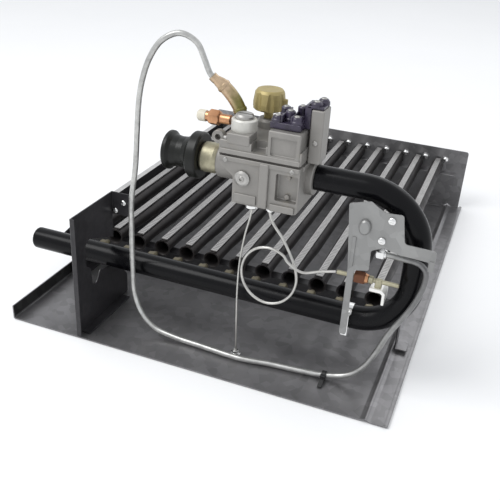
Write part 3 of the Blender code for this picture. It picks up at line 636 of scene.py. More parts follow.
def build_rear():
    lo, hi = span("rear_panel")
    t = SHEET
    y = hi.y - t
    left, right = REAR_LEFT_X + t + GAP, hi.x
    outline = rounded([(left, lo.z), (RIB_X - 6.5, lo.z), (RIB_X, lo.z + 3.6), (RIB_X + 6.5, lo.z),
                       (right, lo.z), (right, hi.z), (left, hi.z)], [0, 0, 2, 0, 1, 4, 3])
    wall = prism(outline, "Y", y, hi.y, 0.3)
    foot = bar((y - 12, lo.z), (y + 0.5, lo.z + t), [0.4, 0.3, 0.3, 0.4])
    shelf = rounded([(y + 0.4, 40), (y - t, 40), (y - t, 61.4), (y - 14, 61.4), (y - 14, 62.9),
                     (y + 0.4, 62.9)], [0, 0.5, 1.0, 0.5, 0.5, 1.6])
    rail_lo, rail_hi = span("front_cross_rail")
    parts = [(wall, "panel"), (prism(foot, "X", -208, 200, 0.2), "panel"),
             (prism(shelf, "X", rail_lo.x, rail_hi.x - ANGLE_FOOT, 0.2), "panel")]
    piece("rear_wall", parts, ["rear_panel"])

    lo, hi = span("rear_stud_strip")
    parts = [(block((lo.x, hi.y - t - 0.6, lo.z), (hi.x, hi.y - 0.3, hi.z), 0.4), "panel")]
    for i in range(1, 13):
        x, z = middle(f"burner_{i:02d}").x + 11.6, (lo.z + hi.z) / 2
        parts.append((pan_screw((x, y, z), "Y", -0.3, -4.0, 4.4, slot=False), "bright"))
        parts.append((lathe([(2.2, -0.3), (5.6, -0.3), (5.8, -0.7), (5.6, -1.2), (2.2, -1.3)],
                            (x, y, z), "Y", 32), "bright"))
        parts.append((rod(2.2, 0.2, 2.2, (x, y, z), "Y", 20), "bright"))
    piece("rear_studs", parts, ["rear_stud_strip"])


def build_rails():
    lo, hi = span("left_rail")
    t = SHEET
    x = LEFT_RAIL_X
    side = rounded([(-186, lo.z), (hi.y, lo.z), (hi.y, hi.z - 0.4), (-178, hi.z - 0.4), (lo.y, 76),
                    (lo.y, 69), (-186, 50)], [2, 1, 1, 4, 2, 2, 6])
    # the top flange takes a light material: painted highlight on the rail's top edge
    flange = bar((x - t - 7, hi.z - t), (x - 0.2, hi.z), [0.5, 0.2, 1.2, 0.5])
    foot = bar((x - 1, lo.z), (x + 11, lo.z + t), 0.4)
    parts = [(prism(side, "X", x - t, x, 0.3), "black"),
             (prism(flange, "Y", -170, hi.y, 0.3), "rail_top_painted_highlight"),
             (prism(foot, "Y", -180, 290, 0.3), "black")]
    piece("left_rail_sheet", parts, ["left_rail"])

    lo, hi = span("front_cross_rail")
    y = lo.y
    angle = rounded([(y, 36), (y + t, 36), (y + t, hi.z - t), (y + 14, hi.z - t), (y + 14, hi.z),
                     (y, hi.z)], [0.4, 0.4, 0.8, 0.4, 0.4, 2.0])
    right = hi.x - ANGLE_FOOT
    post = bar((right - t, lo.z), (right, hi.z), [0.3, 0.3, 0.4, 1.5])
    foot = bar((right - 1, lo.z), (hi.x, lo.z + t), 0.4)
    parts = [(prism(angle, "X", lo.x, right, 0.25), "black"),
             (prism(post, "Y", y, y + 18, 0.25), "black"), (prism(foot, "Y", y, y + 18, 0.25), "tray")]
    piece("front_rail_sheet", parts, ["front_cross_rail"])


PLATE_SLOT = [(-282, 84), (-273, 78), (-270, 54), (-262, 51), (-256, 60), (-253, 66), (-246, 62),
              (-229, 59), (-216, 70), (-214, 92), (-226, 98), (-252, 108), (-272, 116), (-281, 112)]


def build_side_plate():
    lo, hi = span("side_plate")
    t = SHEET
    x = SIDE_PLATE_X
    front, rear = lo.y + t, -220.0
    outline = rounded([(front, lo.z), (-190, lo.z), (-190, 28), (rear, 62), (rear, hi.z),
                       (front, hi.z)], [1, 2, 5, 6, 2, 3])
    wall = boolean(prism(outline, "X", x - t, x, 0.3),
                   [prism(rounded(PLATE_SLOT, 5.0), "X", x - 6, x + 6)])
    front_edge = rounded([(x - t, front - t), (x + 5, front - t), (x + 5, front), (x, front),
                          (x, front + 1), (x - t, front + 1)], [1.6, 0.5, 0.5, 0.8, 0, 0])
    rear_edge = rounded([(x - t, rear - 1), (x, rear - 1), (x, rear), (x + 23, rear),
                         (x + 23, rear + t), (x - t, rear + t)], [0, 0, 0.8, 0.5, 0.5, 1.8])
    foot = bar((x - 1, lo.z), (x + 11, lo.z + t), 0.4)
    parts = [(wall, "black"), (prism(front_edge, "Z", lo.z, hi.z, 0.25), "black"),
             (prism(rear_edge, "Z", 127, hi.z, 0.25), "black"),
             (prism(foot, "Y", -298, -204, 0.3), "black")]
    piece("side_plate_sheet", parts, ["side_plate"])

    parts = [(block((x + 1.2, rear + t + GAP, 129), (x + 19, rear + 2 * t + GAP, 147), 0.4), "bright")]
    for screw_x, screw_z in ((x + 15.8, 143.9), (x + 4.5, 132.1)):
        parts += sheet_screw((screw_x, rear, screw_z), 3.7, 1.7, 2.4)
    piece("plate_screw_heads", parts, ["plate_screws"])


# -------------------------------------------------------------------- burners

def burner_shell(front, rear, top):
    """Stamped tube along Y about X 0, open at its flared mouth, with a channel for the ribbon."""
    stations = [(front, 10.7, 75.0, 0), (front + 0.5, 10.9, 75.0, 0), (front + 1.4, 10.4, 75.0, 0),
                (front + 3.4, 9.0, 75.0, 0), (front + 5.0, 8.6, 75.0, 0), (front + 5.6, 8.5, 74.9, 1),
                (front + 45.5, 8.6, 74.8, 1), (front + 68, 9.2, 74.1, 1), (front + 90.5, 10.0, 73.3, 1),
                (rear - 2, 10.0, 73.3, 1), (rear, 9.0, 73.3, 1)]
    degs = [62, 52, 40, 26, 12, -4, -20, -36, -52, -68, -82]
    bm = bmesh.new()

    def section(r, z, neck):
        half = 4.0 if neck else 3.2
        crown = z + r
        right = [(half, top if neck else crown + 0.2), (half, crown - 0.9)]
        right += [(r * math.cos(math.radians(d)), z + r * math.sin(math.radians(d))) for d in degs]
        return right + [(-x, h) for x, h in reversed(right)]

    def ring(points, y):
        return [bm.verts.new((x, y, h)) for x, h in points]

    rings = [ring(section(r, z, neck), y) for y, r, z, neck in stations]
    count = len(rings[0])
    inner = []
    for y, r, z in ((front, 9.3, 75.0), (front + 1.5, 8.2, 75.0), (front + 6, 7.2, 75.0),
                    (front + 60, 7.2, 74.5), (front + 90, 8.4, 73.3), (rear - 4, 8.4, 73.3)):
        angles = [math.pi / 2 - 2 * math.pi * (k + 0.5) / count for k in range(count)]
        inner.append(ring([(r * math.cos(a), z + r * math.sin(a)) for a in angles], y))
    for run in (rings, inner):
        for a, b in zip(run, run[1:]):
            wall_between(bm, a, b)
    wall_between(bm, rings[0], inner[0])
    bm.faces.new(rings[-1])
    bm.faces.new(inner[-1])
    return outward(bm)


def ribbon_comb(front, rear, top, half=3.1, pitch=4.0, port=1.1):
    """Crimped ribbon seen from above: bars with a gas port between each pair."""
    bm = bmesh.new()
    low, deep = top - 3.4, top - 2.0
    line = [(front, low)]
    count = int((rear - front) / pitch)
    step = (rear - front) / count
    for k in range(count):
        y = front + k * step
        line += [(y + port / 2, deep), (y + port, top), (y + step - 0.25, top), (y + step, deep)]
    line.append((rear, low))
    sides = [[bm.verts.new((x, y, z)) for y, z in line] for x in (-half, half)]
    base = [[bm.verts.new((x, y, low - 0.2)) for y, _ in line] for x in (-half, half)]
    for i in range(len(line) - 1):
        bm.faces.new((sides[0][i], sides[0][i + 1], sides[1][i + 1], sides[1][i]))
        bm.faces.new((base[0][i], base[0][i + 1], base[1][i + 1], base[1][i]))
        for upper, lower in zip(sides, base):
            bm.faces.new((upper[i], upper[i + 1], lower[i + 1], lower[i]))
    for i in (0, len(line) - 1):
        bm.faces.new((sides[0][i], sides[1][i], base[1][i], base[0][i]))
    return outward(bm)


def build_burners():
    for i in range(1, 13):
        node = f"burner_{i:02d}"
        lo, hi = span(node)
        x = (lo.x + hi.x) / 2
        top = hi.z
        parts = [(shift(burner_shell(lo.y, hi.y, top - 0.5), (x, 0, 0)), "burner"),
                 (shift(ribbon_comb(lo.y + 6.4, hi.y - 0.8, top - 0.15), (x, 0, 0)), "ribbon")]
        for side in (-3.6, 3.6):
            wall = block((x + side - 0.45, lo.y + 5.6, top - 2.0), (x + side + 0.45, hi.y, top), 0.2, 2)
            parts.append((wall, "ribbon"))
        for y in (lo.y + 5.6, hi.y - 0.9):
            parts.append((block((x - 3.8, y, top - 2.0), (x + 3.8, y + 0.9, top), 0.2, 2), "ribbon"))
        piece(f"ribbon_{node}", parts, [node])


# ------------------------------------------------------------ manifold, spuds

def arc(centre, radius, start, end, steps):
    """Points of an arc in the XZ plane; angles in degrees from +X towards +Z."""
    out = []
    for k in range(steps + 1):
        a = math.radians(start + (end - start) * k / steps)
        out.append(Vector((centre[0] + radius * math.cos(a), centre[1], centre[2] + radius * math.sin(a))))
    return out


def build_manifold():
    lo, hi = span("manifold_pipe")
    r = (hi.y - lo.y) / 2
    y = (lo.y + hi.y) / 2
    low_z, high_z, riser = lo.z + r, hi.z - r, hi.x - r
    low_bend, top_bend, end = 55.0, 62.5, 90.0
    path = [Vector((lo.x, y, low_z)), Vector((lo.x + 1.0, y, low_z)), Vector((lo.x + 3.0, y, low_z))]
    path += [Vector((lo.x + 20 + 50 * k, y, low_z)) for k in range(8)]
    path += arc((riser - low_bend, y, low_z + low_bend), low_bend, -90, 0, 24)
    path += arc((riser - top_bend, y, high_z - top_bend), top_bend, 0, 90, 26)
    path.append(Vector((end, y, high_z)))
    pipe = sweep(path, lambda i: r - (1.0 if i == 0 else 0.25 if i == 1 else 0.0), 56, PIPE_BORE)
    piece("manifold_tube", [(pipe, "pipe")], ["manifold_pipe"])

    for i in range(1, 13):
        node = f"orifice_spud_{i:02d}"
        s_lo, s_hi = span(node)
        x, z = (s_lo.x + s_hi.x) / 2, (s_lo.z + s_hi.z) / 2
        back = y + r
        spud = lathe([(1.0, back - 2.4), (4.0, back - 2.4), (4.0, back + 0.6), (6.2, back + 0.6),
                      (6.4, back + 1.4, "hex"), (6.4, back + 8.2, "hex"), (6.0, back + 9.2),
                      (4.9, back + 9.6), (4.9, back + 11.0), (4.2, back + 12.2), (4.0, s_hi.y - 3),
                      (2.8, s_hi.y - 0.6), (1.8, s_hi.y), (1.0, s_hi.y), (0.9, s_hi.y - 3)],
                     (x, 0, z), "Y", 48)
        piece(f"spud_{i:02d}", [(spud, "brass")], [node])


def build_inlet():
    spot = middle("inlet_coupling")
    centre = (0, spot.y, spot.z)
    profile = [(13.6, -60), (20.0, -60), (21.4, -58.5), (21.4, -55.0), (17.8, -51.5), (16.6, -45),
               (17.2, -38), (19.5, -32.5), (24.0, -30), (25.4, -28.5), (25.5, -19.5), (24.0, -17.6),
               (13.6, -17.6)]
    body = turned(profile, centre, "X", 1.4, 64)
    piece("coupling_body", [(body, "coupling")], ["inlet_coupling"])

    shank = turned([(9.0, -33), (12.2, -33), (12.9, -31), (12.9, -17), (15.4, -17), (16.3, -15),
                    (16.4, -1.5), (15.2, 2.4), (13.2, 2.4), (13.2, 18), (9.0, 18)], centre, "X", 0.7, 72)
    piece("bushing_body", [(shank, "pale_brass")], ["inlet_bushing"])


# ------------------------------------------------------------------ gas valve

def build_valve_body():
    lo, hi = span("valve_body")
    x0, x1, y0, y1 = VALVE_LEFT, VALVE_RIGHT, VALVE_FRONT, VALVE_REAR
    z0, z1 = lo.z, hi.z
    y, z = middle("manifold_pipe").y, SUPPLY_Z
    outline = rounded([(x0, 240), (x0 + 16, 228), (x0 + 16, z0), (x1 - 2, z0), (x1, z0 + 2), (x1, z1),
                       (x0, z1)], [5, 4, 2, 2, 2, 1, 1], steps=4)
    base = prism(outline, "Y", y0, y1, 1.4)
    adds = [
        turned([(0, 3), (17.2, 3), (18.5, 4.5), (18.5, 34), (0, 34)], (0, y, z - 1), "X", 1.0, 64),
        turned([(0, 98), (19.5, 98), (19.5, 109), (18.5, 110), (0, 110)], (0, y, z), "X", 1.0, 64),
        block((61, y0 - 3, z0 + 1), (71, y0 + 2, z1 - 1), 1.6),
        block((x0 + 19, y0 - 1.6, z0 + 2), (59, y0 + 2, z0 + 12), 1.0),
        block((74, y0 - 2.2, z0 + 0.5), (x1 - 3, y0 + 2, z0 + 8), 1.0),
        block((x0 + 1, y0 - 1.5, z1 - 5), (x1 - 1, y0 + 2, z1 - 0.2), 0.7),
        block((x1 - 2, y0 + 8, z1 - 5), (x1 + 1.4, y1 - 6, z1 - 0.2), 0.7),
    ]
    cuts = [
        block((78.5, y0 - 4, 211), (101.5, y0 + 7, 240), 1.6, 4),
        lathe([(0, -3), (THREAD_BORE, -3), (THREAD_BORE, 19), (GAS_BORE, 19), (GAS_BORE, SEAT_X),
               (0, SEAT_X)], (0, y, z - 1), "X", 40),
        lathe([(0, OUTLET_X), (GAS_BORE, OUTLET_X), (GAS_BORE, 89), (THREAD_BORE, 89),
               (THREAD_BORE, 120), (0, 120)], (0, y, z), "X", 40),
        rod(9.2, 212, 241, (SEAT_X, y, 0)),
        rod(7.5, 221, 241, (OUTLET_X, y, 0)),
        rod(26, 240, 252, (62, y, 0), "Z", 40),
        rod(5.2, y0 - 3, y0 + 7.5, TAP_AT, "Y"),
    ]
    parts = [(carved(base, adds, cuts), "cast")]
    for x in (24, 95):
        parts.append((pan_screw((x, y0 - 1.2, 245), "Y", 0, -1.4, 2.4), "dull_steel"))
    for level in (215, 236):
        parts.append((rod(2.6, y0 + 4, y0 + 6.9, (90, 0, level), "Y", 24, 0.5), "cast"))
    piece("valve_casting", parts, ["valve_body"], sharp=30)

    plug_at = middle("pressure_tap_plug")
    at = (plug_at.x, 0, plug_at.z)
    head = turned([(0, y0 - 5), (2.6, y0 - 5), (3.2, y0 - 3.6), (5.8, y0 - 3.6), (8.2, y0 - 2.2),
                   (8.2, y0 - GAP), (4.8, y0 - GAP), (4.8, y0 + 7), (0, y0 + 7)], at, "Y", 0.5, 48)
    socket = lathe([(0, y0 - 8), (1.6, y0 - 8, "hex"), (1.6, y0 - 3.4, "hex"), (0, y0 - 3.4)], at, "Y", 48)
    piece("tap_plug", [(boolean(head, [socket]), "dull_steel")], ["pressure_tap_plug"])
    NODES["valve_gasket"].data.materials[0] = M["gasket"]


def build_valve_cover():
    lo, _ = span("valve_cover")
    x0, x1, y0, y1 = VALVE_LEFT, VALVE_RIGHT, VALVE_FRONT, VALVE_REAR
    z0, z1 = lo.z, 265.0
    y = middle("manifold_pipe").y
    base = block((x0, y0, z0), (x1, y1, z1), 1.2)
    adds = [
        turned([(0, 260), (12.8, 260), (12.8, 281), (11.8, 283), (0, 283)], TOWER_AT, "Z", 1.0, 56),
        block((67.5, y0 - 1, z0 + 4), (101, -222, 283), 1.6),
        rod(9.0, 260, 271, STUB_AT, "Z", 40, 0.8),
        turned([(0, 260), (11, 260), (11, 272), (9.4, 275), (0, 275)], COCK_AT, "Z", 0.8, 40),
        block((x0 + 1, y0 - 1.5, z0 + 0.3), (x1 - 1, y0 + 2, z0 + 5.5), 0.8),
        block((x0 - 3, y0 + 16, z0 + 3), (x0 + 6, y0 + 38, z1 - 1), 1.5),
        rod(6.8, y0 + 8, y0 + 16, EAR_AT, "Y", 36, 0.8),
        block((11, y0 + 8.5, 257.0), (18, y0 + 15.5, 264.8), 0.8),
    ]
    cuts = [
        lathe([(0, 249), (9.5, 249), (9.5, 260), (3.5, 260), (3.5, 264.4), (0, 264.4)],
              (SEAT_X, y, 0), "Z", 32),
        rod(5.4, 258, 290, COCK_AT),
        rod(6.3, 266, 290, TOWER_AT),
        rod(5.0, 262, 290, STUB_AT, "Z", 28),
        block((71, y0 - 4, 258), (97, y0 + 1.2, 277), 1.2),
        rod(4.2, x0 - 6, x0 + 5, (0, y0 + 27, 259), "X", 28),
        rod(3.2, y0 + 6, y0 + 14, EAR_AT, "Y", 28),
        block((50.5, y0 - 4, 257), (66, y0 + 16, 290), 1.4),
    ]
    parts = [(carved(base, adds, cuts), "cast")]
    for screw_x, screw_y in ((21.5, -264.5), (97, -200), (66, -199)):
        parts.append((pan_screw((screw_x, screw_y, 0), "Z", z1, z1 + 3.2, 3.6, way=1), "dull_steel"))
    # collar in a lighter copy of the casting: painted highlight on the tower
    collar = turned([(9.0, 272.0), (13.2, 272.0), (13.2, 283.6), (11.6, 285.0), (9.0, 285.0)],
                    TOWER_AT, "Z", 0.8, 56)
    parts.append((collar, "cast_painted_highlight"))
    parts.append((block((24, y0 - 0.8, z1 - 3), (48.5, y0 + 22, z1 + 8), 1.4), "cast"))
    piece("valve_top", parts, ["valve_cover"], sharp=30)

    cap = turned([(0, 267), (5.9, 267), (5.9, 284.8), (9.6, 284.8), (9.6, 287.4), (8.4, 289.4), (0, 289.4)],
                 TOWER_AT, "Z", 0.6, 48)
    slot = shift(block((-11, -1.1, 287.4), (11, 1.1, 293), 0.0), TOWER_AT)
    piece("regulator_screw_cap", [(boolean(cap, [slot]), "dull_steel")], ["regulator_cap"])


def build_knob():
    """Three-position gas cock knob with finger flutes and a pointer ear."""
    top = span("manual_knob")[1].z
    at = COCK_AT
    stem = turned([(0, 258.6), (5.05, 258.6), (5.05, 284), (15.4, 284), (17.3, 285.8), (17.3, 291),
                   (15.6, top - 3), (13.4, top), (0, top)], at, "Z", 1.2, 72)
    flutes = []
    for k in range(8):
        a = 2 * math.pi * (k + 0.5) / 8
        spot = (at[0] + 19.2 * math.cos(a), at[1] + 19.2 * math.sin(a), 0)
        flutes.append(rod(4.4, 278, 310, spot, "Z", 28))
    knob = boolean(stem, flutes)
    ear_line = rounded([(13, -3.2), (19.9, -1.6), (19.9, 1.6), (13, 3.2)], 1.2)
    ear = shift(prism(ear_line, "Z", 286, 297, 0.6), at)
    pointer = shift(block((2, -1.1, top - 0.4), (12, 1.1, top - 0.05), 0.1), at)
    dial = turned([(0, top - 1.4), (7.4, top - 1.4), (7.4, top - 0.02), (6.6, top - 0.02), (6.6, top - 0.9),
                   (0, top - 0.9)], at, "Z", 0.15, 48)
    parts = [(boolean(knob, [ear], "UNION"), "knob"), (pointer, "cream"), (dial, "knob")]
    piece("gas_cock_knob", parts, ["manual_knob"], body="cock_knob", sharp=35)


def build_operator():
    lo, hi = span("operator_housing")
    core = middle("operator_plunger")
    case = block(lo, hi, 1.8, 4)
    cuts = [rod(4.8, 251.5, 296, (core.x, core.y, 0)),
            block((lo.x - 1, core.y - 2, 288), (core.x, core.y + 2, 292), 0.0)]
    parts = [(boolean(case, cuts), "cast"),
             (pan_screw((lo.x + 6.6, lo.y, lo.z + 22), "Y", 0, -1.8, 2.6), "dull_steel")]
    piece("operator_case", parts, ["operator_housing"], sharp=30)

    parts = [(block((66, -264, 283.3), (97.5, -227, 290), 1.2), "terminal"),
             (block((96, -250, 283.3), (102.9, -228, 307), 1.0), "terminal"),
             (block((98, -250, 304.3), (115, -228, 307), 0.8), "terminal")]
    posts = ((72, -258, 290, 297), (82, -250, 290, 301), (91.5, -258, 290, 298), (90, -236, 290, 303),
             (73, -236, 290, 300), (106, -244.5, 307, 312), (110, -234, 307, 313))
    for x, y, low, top in posts:
        parts.append((turned([(0, low - 2), (6.0, low - 2), (6.0, low + 2), (5.0, low + 3), (5.0, top - 2.5),
                              (4.0, top - 1.4), (0, top - 1.4)], (x, y, 0), "Z", 0.7, 32), "terminal"))
        parts.append((pan_screw((x, y, 0), "Z", top - 1.6, top, 3.0, way=1), "dull_steel"))
    for x in (76, 86):
        parts.append((block((x, -262, 289), (x + 2, -229, 297), 0.6), "terminal"))
    piece("terminal_cluster", parts, ["terminal_block"])


# ------------------------------------------------------ pilot gas and fittings

def build_take_off():
    x, y, _ = STUB_AT
    bend = smooth_path([(x, y, 273.2), (21, y, 280), (16.5, y, 289), (9, -227, 299),
                        (0, -228.5, 307.5), (-6.5, -230, 312)], 2.0)
    path = [Vector((x, y, 262.6)), Vector((x, y, 272.4))] + bend
    last = len(path) - 1

    def radius(i):
        if i < 2:
            return 4.6
        swell = 6.3 + 0.7 * math.sin(math.pi * (i - 2) / (last - 2))
        return swell if i < last - 3 else 6.3 - 0.45 * (i - last + 3)

    parts = [(sweep(path, radius, 36), "elbow")]
    for i in (6, last - 6):
        a, b = path[i], path[i + 1]
        ring = sweep([a, a + (b - a) * 0.4, a + (b - a) * 1.6, b + (b - a)],
                     lambda k: 7.5 if k in (1, 2) else 7.0, 36)
        parts.append((ring, "elbow"))
    ferrule = sweep([(-5.9, -229.85, 311.6), (-8.2, -230.4, 313.2), (-10.6, -231.2, 315.6)],
                    4.9, 32, 3.15)
    parts.append((ferrule, "elbow"))
    piece("pilot_elbow", parts, ["pilot_outlet_elbow"])

    at = BRANCH_AT
    parts = [(turned([(0, -25), (4.6, -25), (6.2, -23), (6.2, -15), (0, -15)], at, "X", 0.9, 40), "cream"),
             (lathe([(0, -15.5), (5.4, -15.5), (5.6, -11.6), (7.0, -11.4), (7.3, -10, "hex"),
                     (7.3, -1, "hex"), (7.0, 0.4), (5.2, 1), (5.2, 12.3), (0, 12.3)], at, "X", 48),
              "copper")]
    piece("branch_fitting", parts, ["copper_branch"])


PILOT_TUBE_KNOTS = [
    (-8.2, -230.4, 313.2), (-12.5, -231.8, 317.5), (-17.5, -235.5, 332), (-25, -240, 349.5),
    (-41, -245, 357), (-59, -248, 348.5), (-72, -250, 330), (-80.5, -251, 306), (-85, -251, 283),
    (-87.2, -252, 250), (-89.5, -253, 209), (-95, -254, 166), (-95, -255, 122), (-93.5, -257, 80),
    (-91, -259, 50), (-80, -262, 27), (-62, -264, 12), (-36, -265, 7), (0, -266.5, 6),
    (51, -268.6, 5.6), (86, -263.5, 5.6), (121, -260.5, 5.8), (150, -257, 6.4),
    (175, -254, 13), (190, -253, 28), (200, -252.5, 48), (211, -252, 78), (224, -251.5, 104),
    (233, -251, 126), (237.5, -250.8, 146), (236.5, -250.5, 159), (229, -250.2, 166),
    (216, -249.2, 167), (204, -247.8, 167), (196, -247.2, 167), (188, -247.2, 167)]


def build_pilot_line():
    # the tube's material darkens its run at X 175 to 232 mm: painted shade
    tube = sweep(smooth_path(PILOT_TUBE_KNOTS, 4), 3.05, 24)
    piece("pilot_gas_tube", [(tube, "tube")], ["pilot_tube"])
    lo, hi = span("pilot_tube_nut")
    at = TUBE_END_AT
    rim = turned([(3.4, hi.x - 2), (4.6, hi.x - 2), (4.2, hi.x), (3.4, hi.x)], at, "X", 0.3, 36)
    parts = [(nut(at, "X", lo.x, hi.x - 2, 5.6, 3.6), "bright"), (rim, "bright")]
    piece("tube_nut", parts, ["pilot_tube_nut"])

    lo, hi = span("tube_tie")
    x = (lo.x + hi.x) / 2
    band = lathe(bar((3.5, -2.6), (4.9, 2.6), 0.4, 2), (x, -257, 6.6), "X", 36)
    head = block((x - 3.2, -264.5, 3.6), (x + 3.2, -259.5, 9.6), 0.8)
    tail_line = rounded([(-262, 5.6), (-262, 7.2), (-268, 7.0), (-276, 3.2), (-276, 2.0),
                         (-267, 5.4)], 0.6)
    tail = prism(tail_line, "X", x - 2.4, x + 2.4, 0.3)
    piece("cable_tie", [(band, "plastic"), (head, "plastic"), (tail, "plastic")], ["tube_tie"])


def build_pilot_gear():
    lo, hi = span("pilot_bracket")
    t = SHEET
    y1 = lo.y + 5 + t
    y0 = y1 - t
    outline = [(159, 146), (159, 66), (166, 66), (166, 146), (181, 149), (180, 172), (192, 178),
               (211, 174), (238, 173), (238, 163), (244, 163), (244, 186), (212, 187), (207, 217),
               (189, 216), (180, 221), (174, 225), (152, 219)]
    radii = [2, 1.5, 1.5, 3, 3, 4, 4, 4, 2, 1, 1, 3, 4, 3, 3, 3, 3, 3]
    sheet = prism(rounded(outline, radii), "Y", y0, y1, 0.3)
    boss = turned([(0, y0 - 5), (4.6, y0 - 5), (6.0, y0 - 3), (6.6, y0 + 0.4), (0, y0 + 0.4)],
                  (171, 0, 0), "Y", 1.2, 48)
    for vert in boss.verts:
        vert.co.z = 197.0 + 1.35 * vert.co.z
    lip = prism(bar((y1 - 0.4, 206), (y1 + 14, 206 + t), 0.4), "X", 156, 184, 0.3)
    hem = block((238.4, y0 - 0.9, 163.4), (243.6, y0 + 0.4, 175), 0.5)
    bead = block((160, y0 - 1.1, 150), (164, y0 + 0.3, 184), 0.7)
    parts = [(sheet, "bracket"), (boss, "bracket"), (lip, "bracket"), (hem, "bracket"), (bead, "bracket")]
    piece("bracket_sheet", parts, ["pilot_bracket"])

    parts = [(block((186, y1 + GAP, 182), (200, y1 + GAP + t, 212), 0.4), "bright")]
    for x, z in ((196.5, 209), (189.5, 185.6)):
        parts += sheet_screw((x, y0, z), 4.1, 1.6, 2.6)
    piece("bracket_screw_heads", parts, ["bracket_screws"])

    pipe = middle("manifold_pipe").y
    r, z = 13.35, 75.5
    s_lo, s_hi = span("manifold_strap")
    x = (s_lo.x + s_hi.x) / 2
    band = lathe(bar((r + 0.25, -3.5), (r + 1.5, 3.5), 0.4, 2), (x, pipe, z), "X", 64)
    ear = prism(rounded([(-254.8, z - 13), (-243.0, z - 9), (-243.0, z + 9), (-254.8, z + 13)], 1.0), "X",
                x - 3.5, x + 3.5, 0.4)
    cut = rod(r + 0.3, -9, 9, (x, pipe, z), "X", 64)
    parts = [(band, "bright"), (boolean(ear, [cut]), "bright")]
    piece("strap_clamp", parts, ["manifold_strap"])

    tip = rod(2.4, 147, 213, PILOT_AT, "X", 32, 0.8)
    hood_line = rounded([(184, 129.5), (197, 129.5), (201, 126), (201, 112), (198, 112),
                         (198, 123.5), (196, 125.5), (184, 125.5)], [1, 3, 3, 1, 1, 1.5, 1.5, 1])
    hood = prism(hood_line, "Y", -256, -238, 0.5)
    stem = block((188.5, -253.5, 127), (195.5, -246.5, 138.4), 1.2)
    collar = turned([(2.2, 181.6), (4.4, 181.6), (4.4, 186), (2.2, 186)], PILOT_AT, "X", 0.5, 32)
    parts = [(tip, "pale_brass"), (stem, "pale_brass"), (collar, "pale_brass"), (hood, "hood")]
    piece("pilot_head", parts, ["pilot_burner"])

    lo, hi = span("copper_nut")
    at = PILOT_AT
    parts = [(nut(at, "X", lo.x, hi.x - 3.4, 6.3, 3.0), "rust"),
             (turned([(3.0, hi.x - 3.6), (5.6, hi.x - 3.6), (4.6, hi.x), (3.0, hi.x)], at, "X", 0.5, 36),
              "copper")]
    piece("lead_nut", parts, ["copper_nut"])


def build_leads():
    cx, cz, r, ry = 75.0, 117.0, 31.0, 35.0
    knots = [(69, -252, 198.0), (69, -252, 187.5), (73.5, -253.5, 178), (88, -256, 161)]
    for k in range(12):
        a = math.radians(28 - 30 * k)
        knots.append((cx + r * math.cos(a), -256.5 - 0.55 * k, cz + ry * math.sin(a)))
    knots += [(96, -263, 141), (112, -260, 131), (130, -254, 133.5),
                          (145.8, -250.3, 136)]
    piece("sensor_lead", [(sweep(smooth_path(knots, 2.5), 1.5, 16), "lead")], ["thermocouple_lead"])
    lo, hi = span("thermocouple_nut")
    at = LEAD_NUT_AT
    skirt = turned([(1.9, lo.z), (3.6, lo.z), (3.8, lo.z + 2.2), (1.9, lo.z + 2.2)], at, "Z", 0.3, 32)
    parts = [(nut(at, "Z", lo.z + 2, hi.z - 0.2, 4.8, 2.0), "bright"), (skirt, "bright")]
    piece("sensor_nut", parts, ["thermocouple_nut"])

    wire = [(52, -262, 197.5), (52, -262, 191), (50.5, -261.5, 181), (45, -259, 158), (40, -257, 122),
            (39, -257, 84), (40, -257, 46), (41, -257, 14), (41, -257, 4.4)]
    piece("ground_wire", [(sweep(smooth_path(wire, 3), 1.1, 12), "lead")], ["earth_wire"])
    screw = turned([(1.4, 193.6), (5.2, 193.6), (6.8, 195.2), (6.8, 198.7), (1.4, 198.7)],
                   EARTH_SCREW_AT, "Z", 0.6, 40)
    piece("ground_screw", [(screw, "bright")], ["earth_screw"])
    lug = turned([(1.4, SHEET + GAP), (6.5, SHEET + GAP), (6.3, 3.3), (4.2, 3.8), (3.4, 7.0), (1.4, 7.0)],
                 EARTH_LUG_AT, "Z", 0.5, 36)
    piece("ground_lug", [(lug, "bright")], ["earth_lug"])


def finish_inner_parts():
    """CAD nodes that stay, deep inside the valve."""
    for node in ("main_valve_poppet", "poppet_spring", "operator_plunger"):
        NODES[node].data.materials[0] = M["bright"]


# --------------------------------------------------------------- stage, light

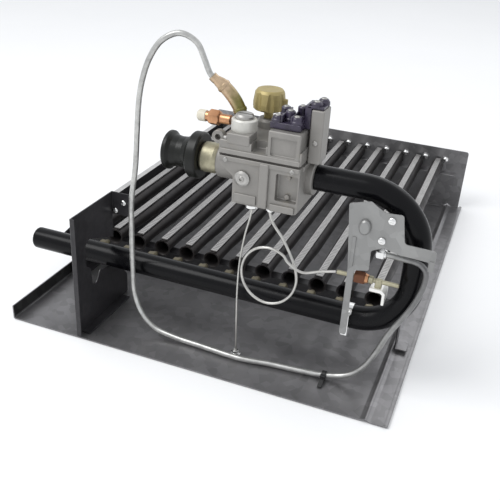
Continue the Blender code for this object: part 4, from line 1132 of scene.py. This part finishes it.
def build_stage():
    bm = bmesh.new()
    bmesh.ops.create_grid(bm, x_segments=24, y_segments=24, size=9.0)
    floor = linked("floor", mesh_of(bm, "floor"))
    floor.data.materials.append(plain_stage("pale_floor", (0.90, 0.90, 0.90)))
    floor.location = (0, 0, -0.0006)

    world = bpy.data.worlds.new("studio")
    bpy.context.scene.world = world
    world.use_nodes = True
    back = world.node_tree.nodes["Background"]
    back.inputs["Color"].default_value = (0.95, 0.97, 1.0, 1.0)
    back.inputs["Strength"].default_value = 0.92
    bpy.context.scene.view_settings.view_transform = "Standard"


def soft_light(name, place, target, size, power):
    light = bpy.data.lights.new(name, "AREA")
    light.shape = "RECTANGLE"
    light.size, light.size_y = size
    light.energy = power
    obj = linked(name, light)
    obj.location = place
    obj.rotation_euler = (Vector(target) - Vector(place)).to_track_quat("-Z", "Y").to_euler()


def build_camera():
    az, el, roll = (math.radians(v) for v in (CAMERA_AZIMUTH, CAMERA_ELEVATION, CAMERA_ROLL))
    forward = Vector((-math.sin(az) * math.cos(el), math.cos(az) * math.cos(el), -math.sin(el)))
    right = Vector((math.cos(az), math.sin(az), 0))
    up = right.cross(forward)
    right, up = right * math.cos(roll) + up * math.sin(roll), up * math.cos(roll) - right * math.sin(roll)
    data = bpy.data.cameras.new("camera")
    data.sensor_width = 36.0
    data.lens = FOCAL_PIXELS * data.sensor_width / IMAGE_PIXELS
    data.clip_start, data.clip_end = 0.05, 40.0
    obj = linked("camera", data)
    turn = Matrix((right, up, -forward)).transposed().to_4x4()
    obj.matrix_world = Matrix.Translation(CAMERA_PLACE) @ turn
    bpy.context.scene.camera = obj


def main():
    build_camera()
    build_stage()
    middle_high = (0.0, -0.1, 0.1)
    soft_light("key", (-0.9, -0.9, 1.7), middle_high, (1.2, 1.0), 20.0)
    soft_light("back", (0.5, 1.6, 1.5), middle_high, (1.6, 0.8), 4.0)
    build_tray()
    build_rear()
    build_rails()
    build_side_plate()
    build_burners()
    build_manifold()
    build_inlet()
    build_valve_body()
    build_valve_cover()
    build_knob()
    build_operator()
    build_take_off()
    build_pilot_line()
    build_pilot_gear()
    build_leads()
    finish_inner_parts()


main()
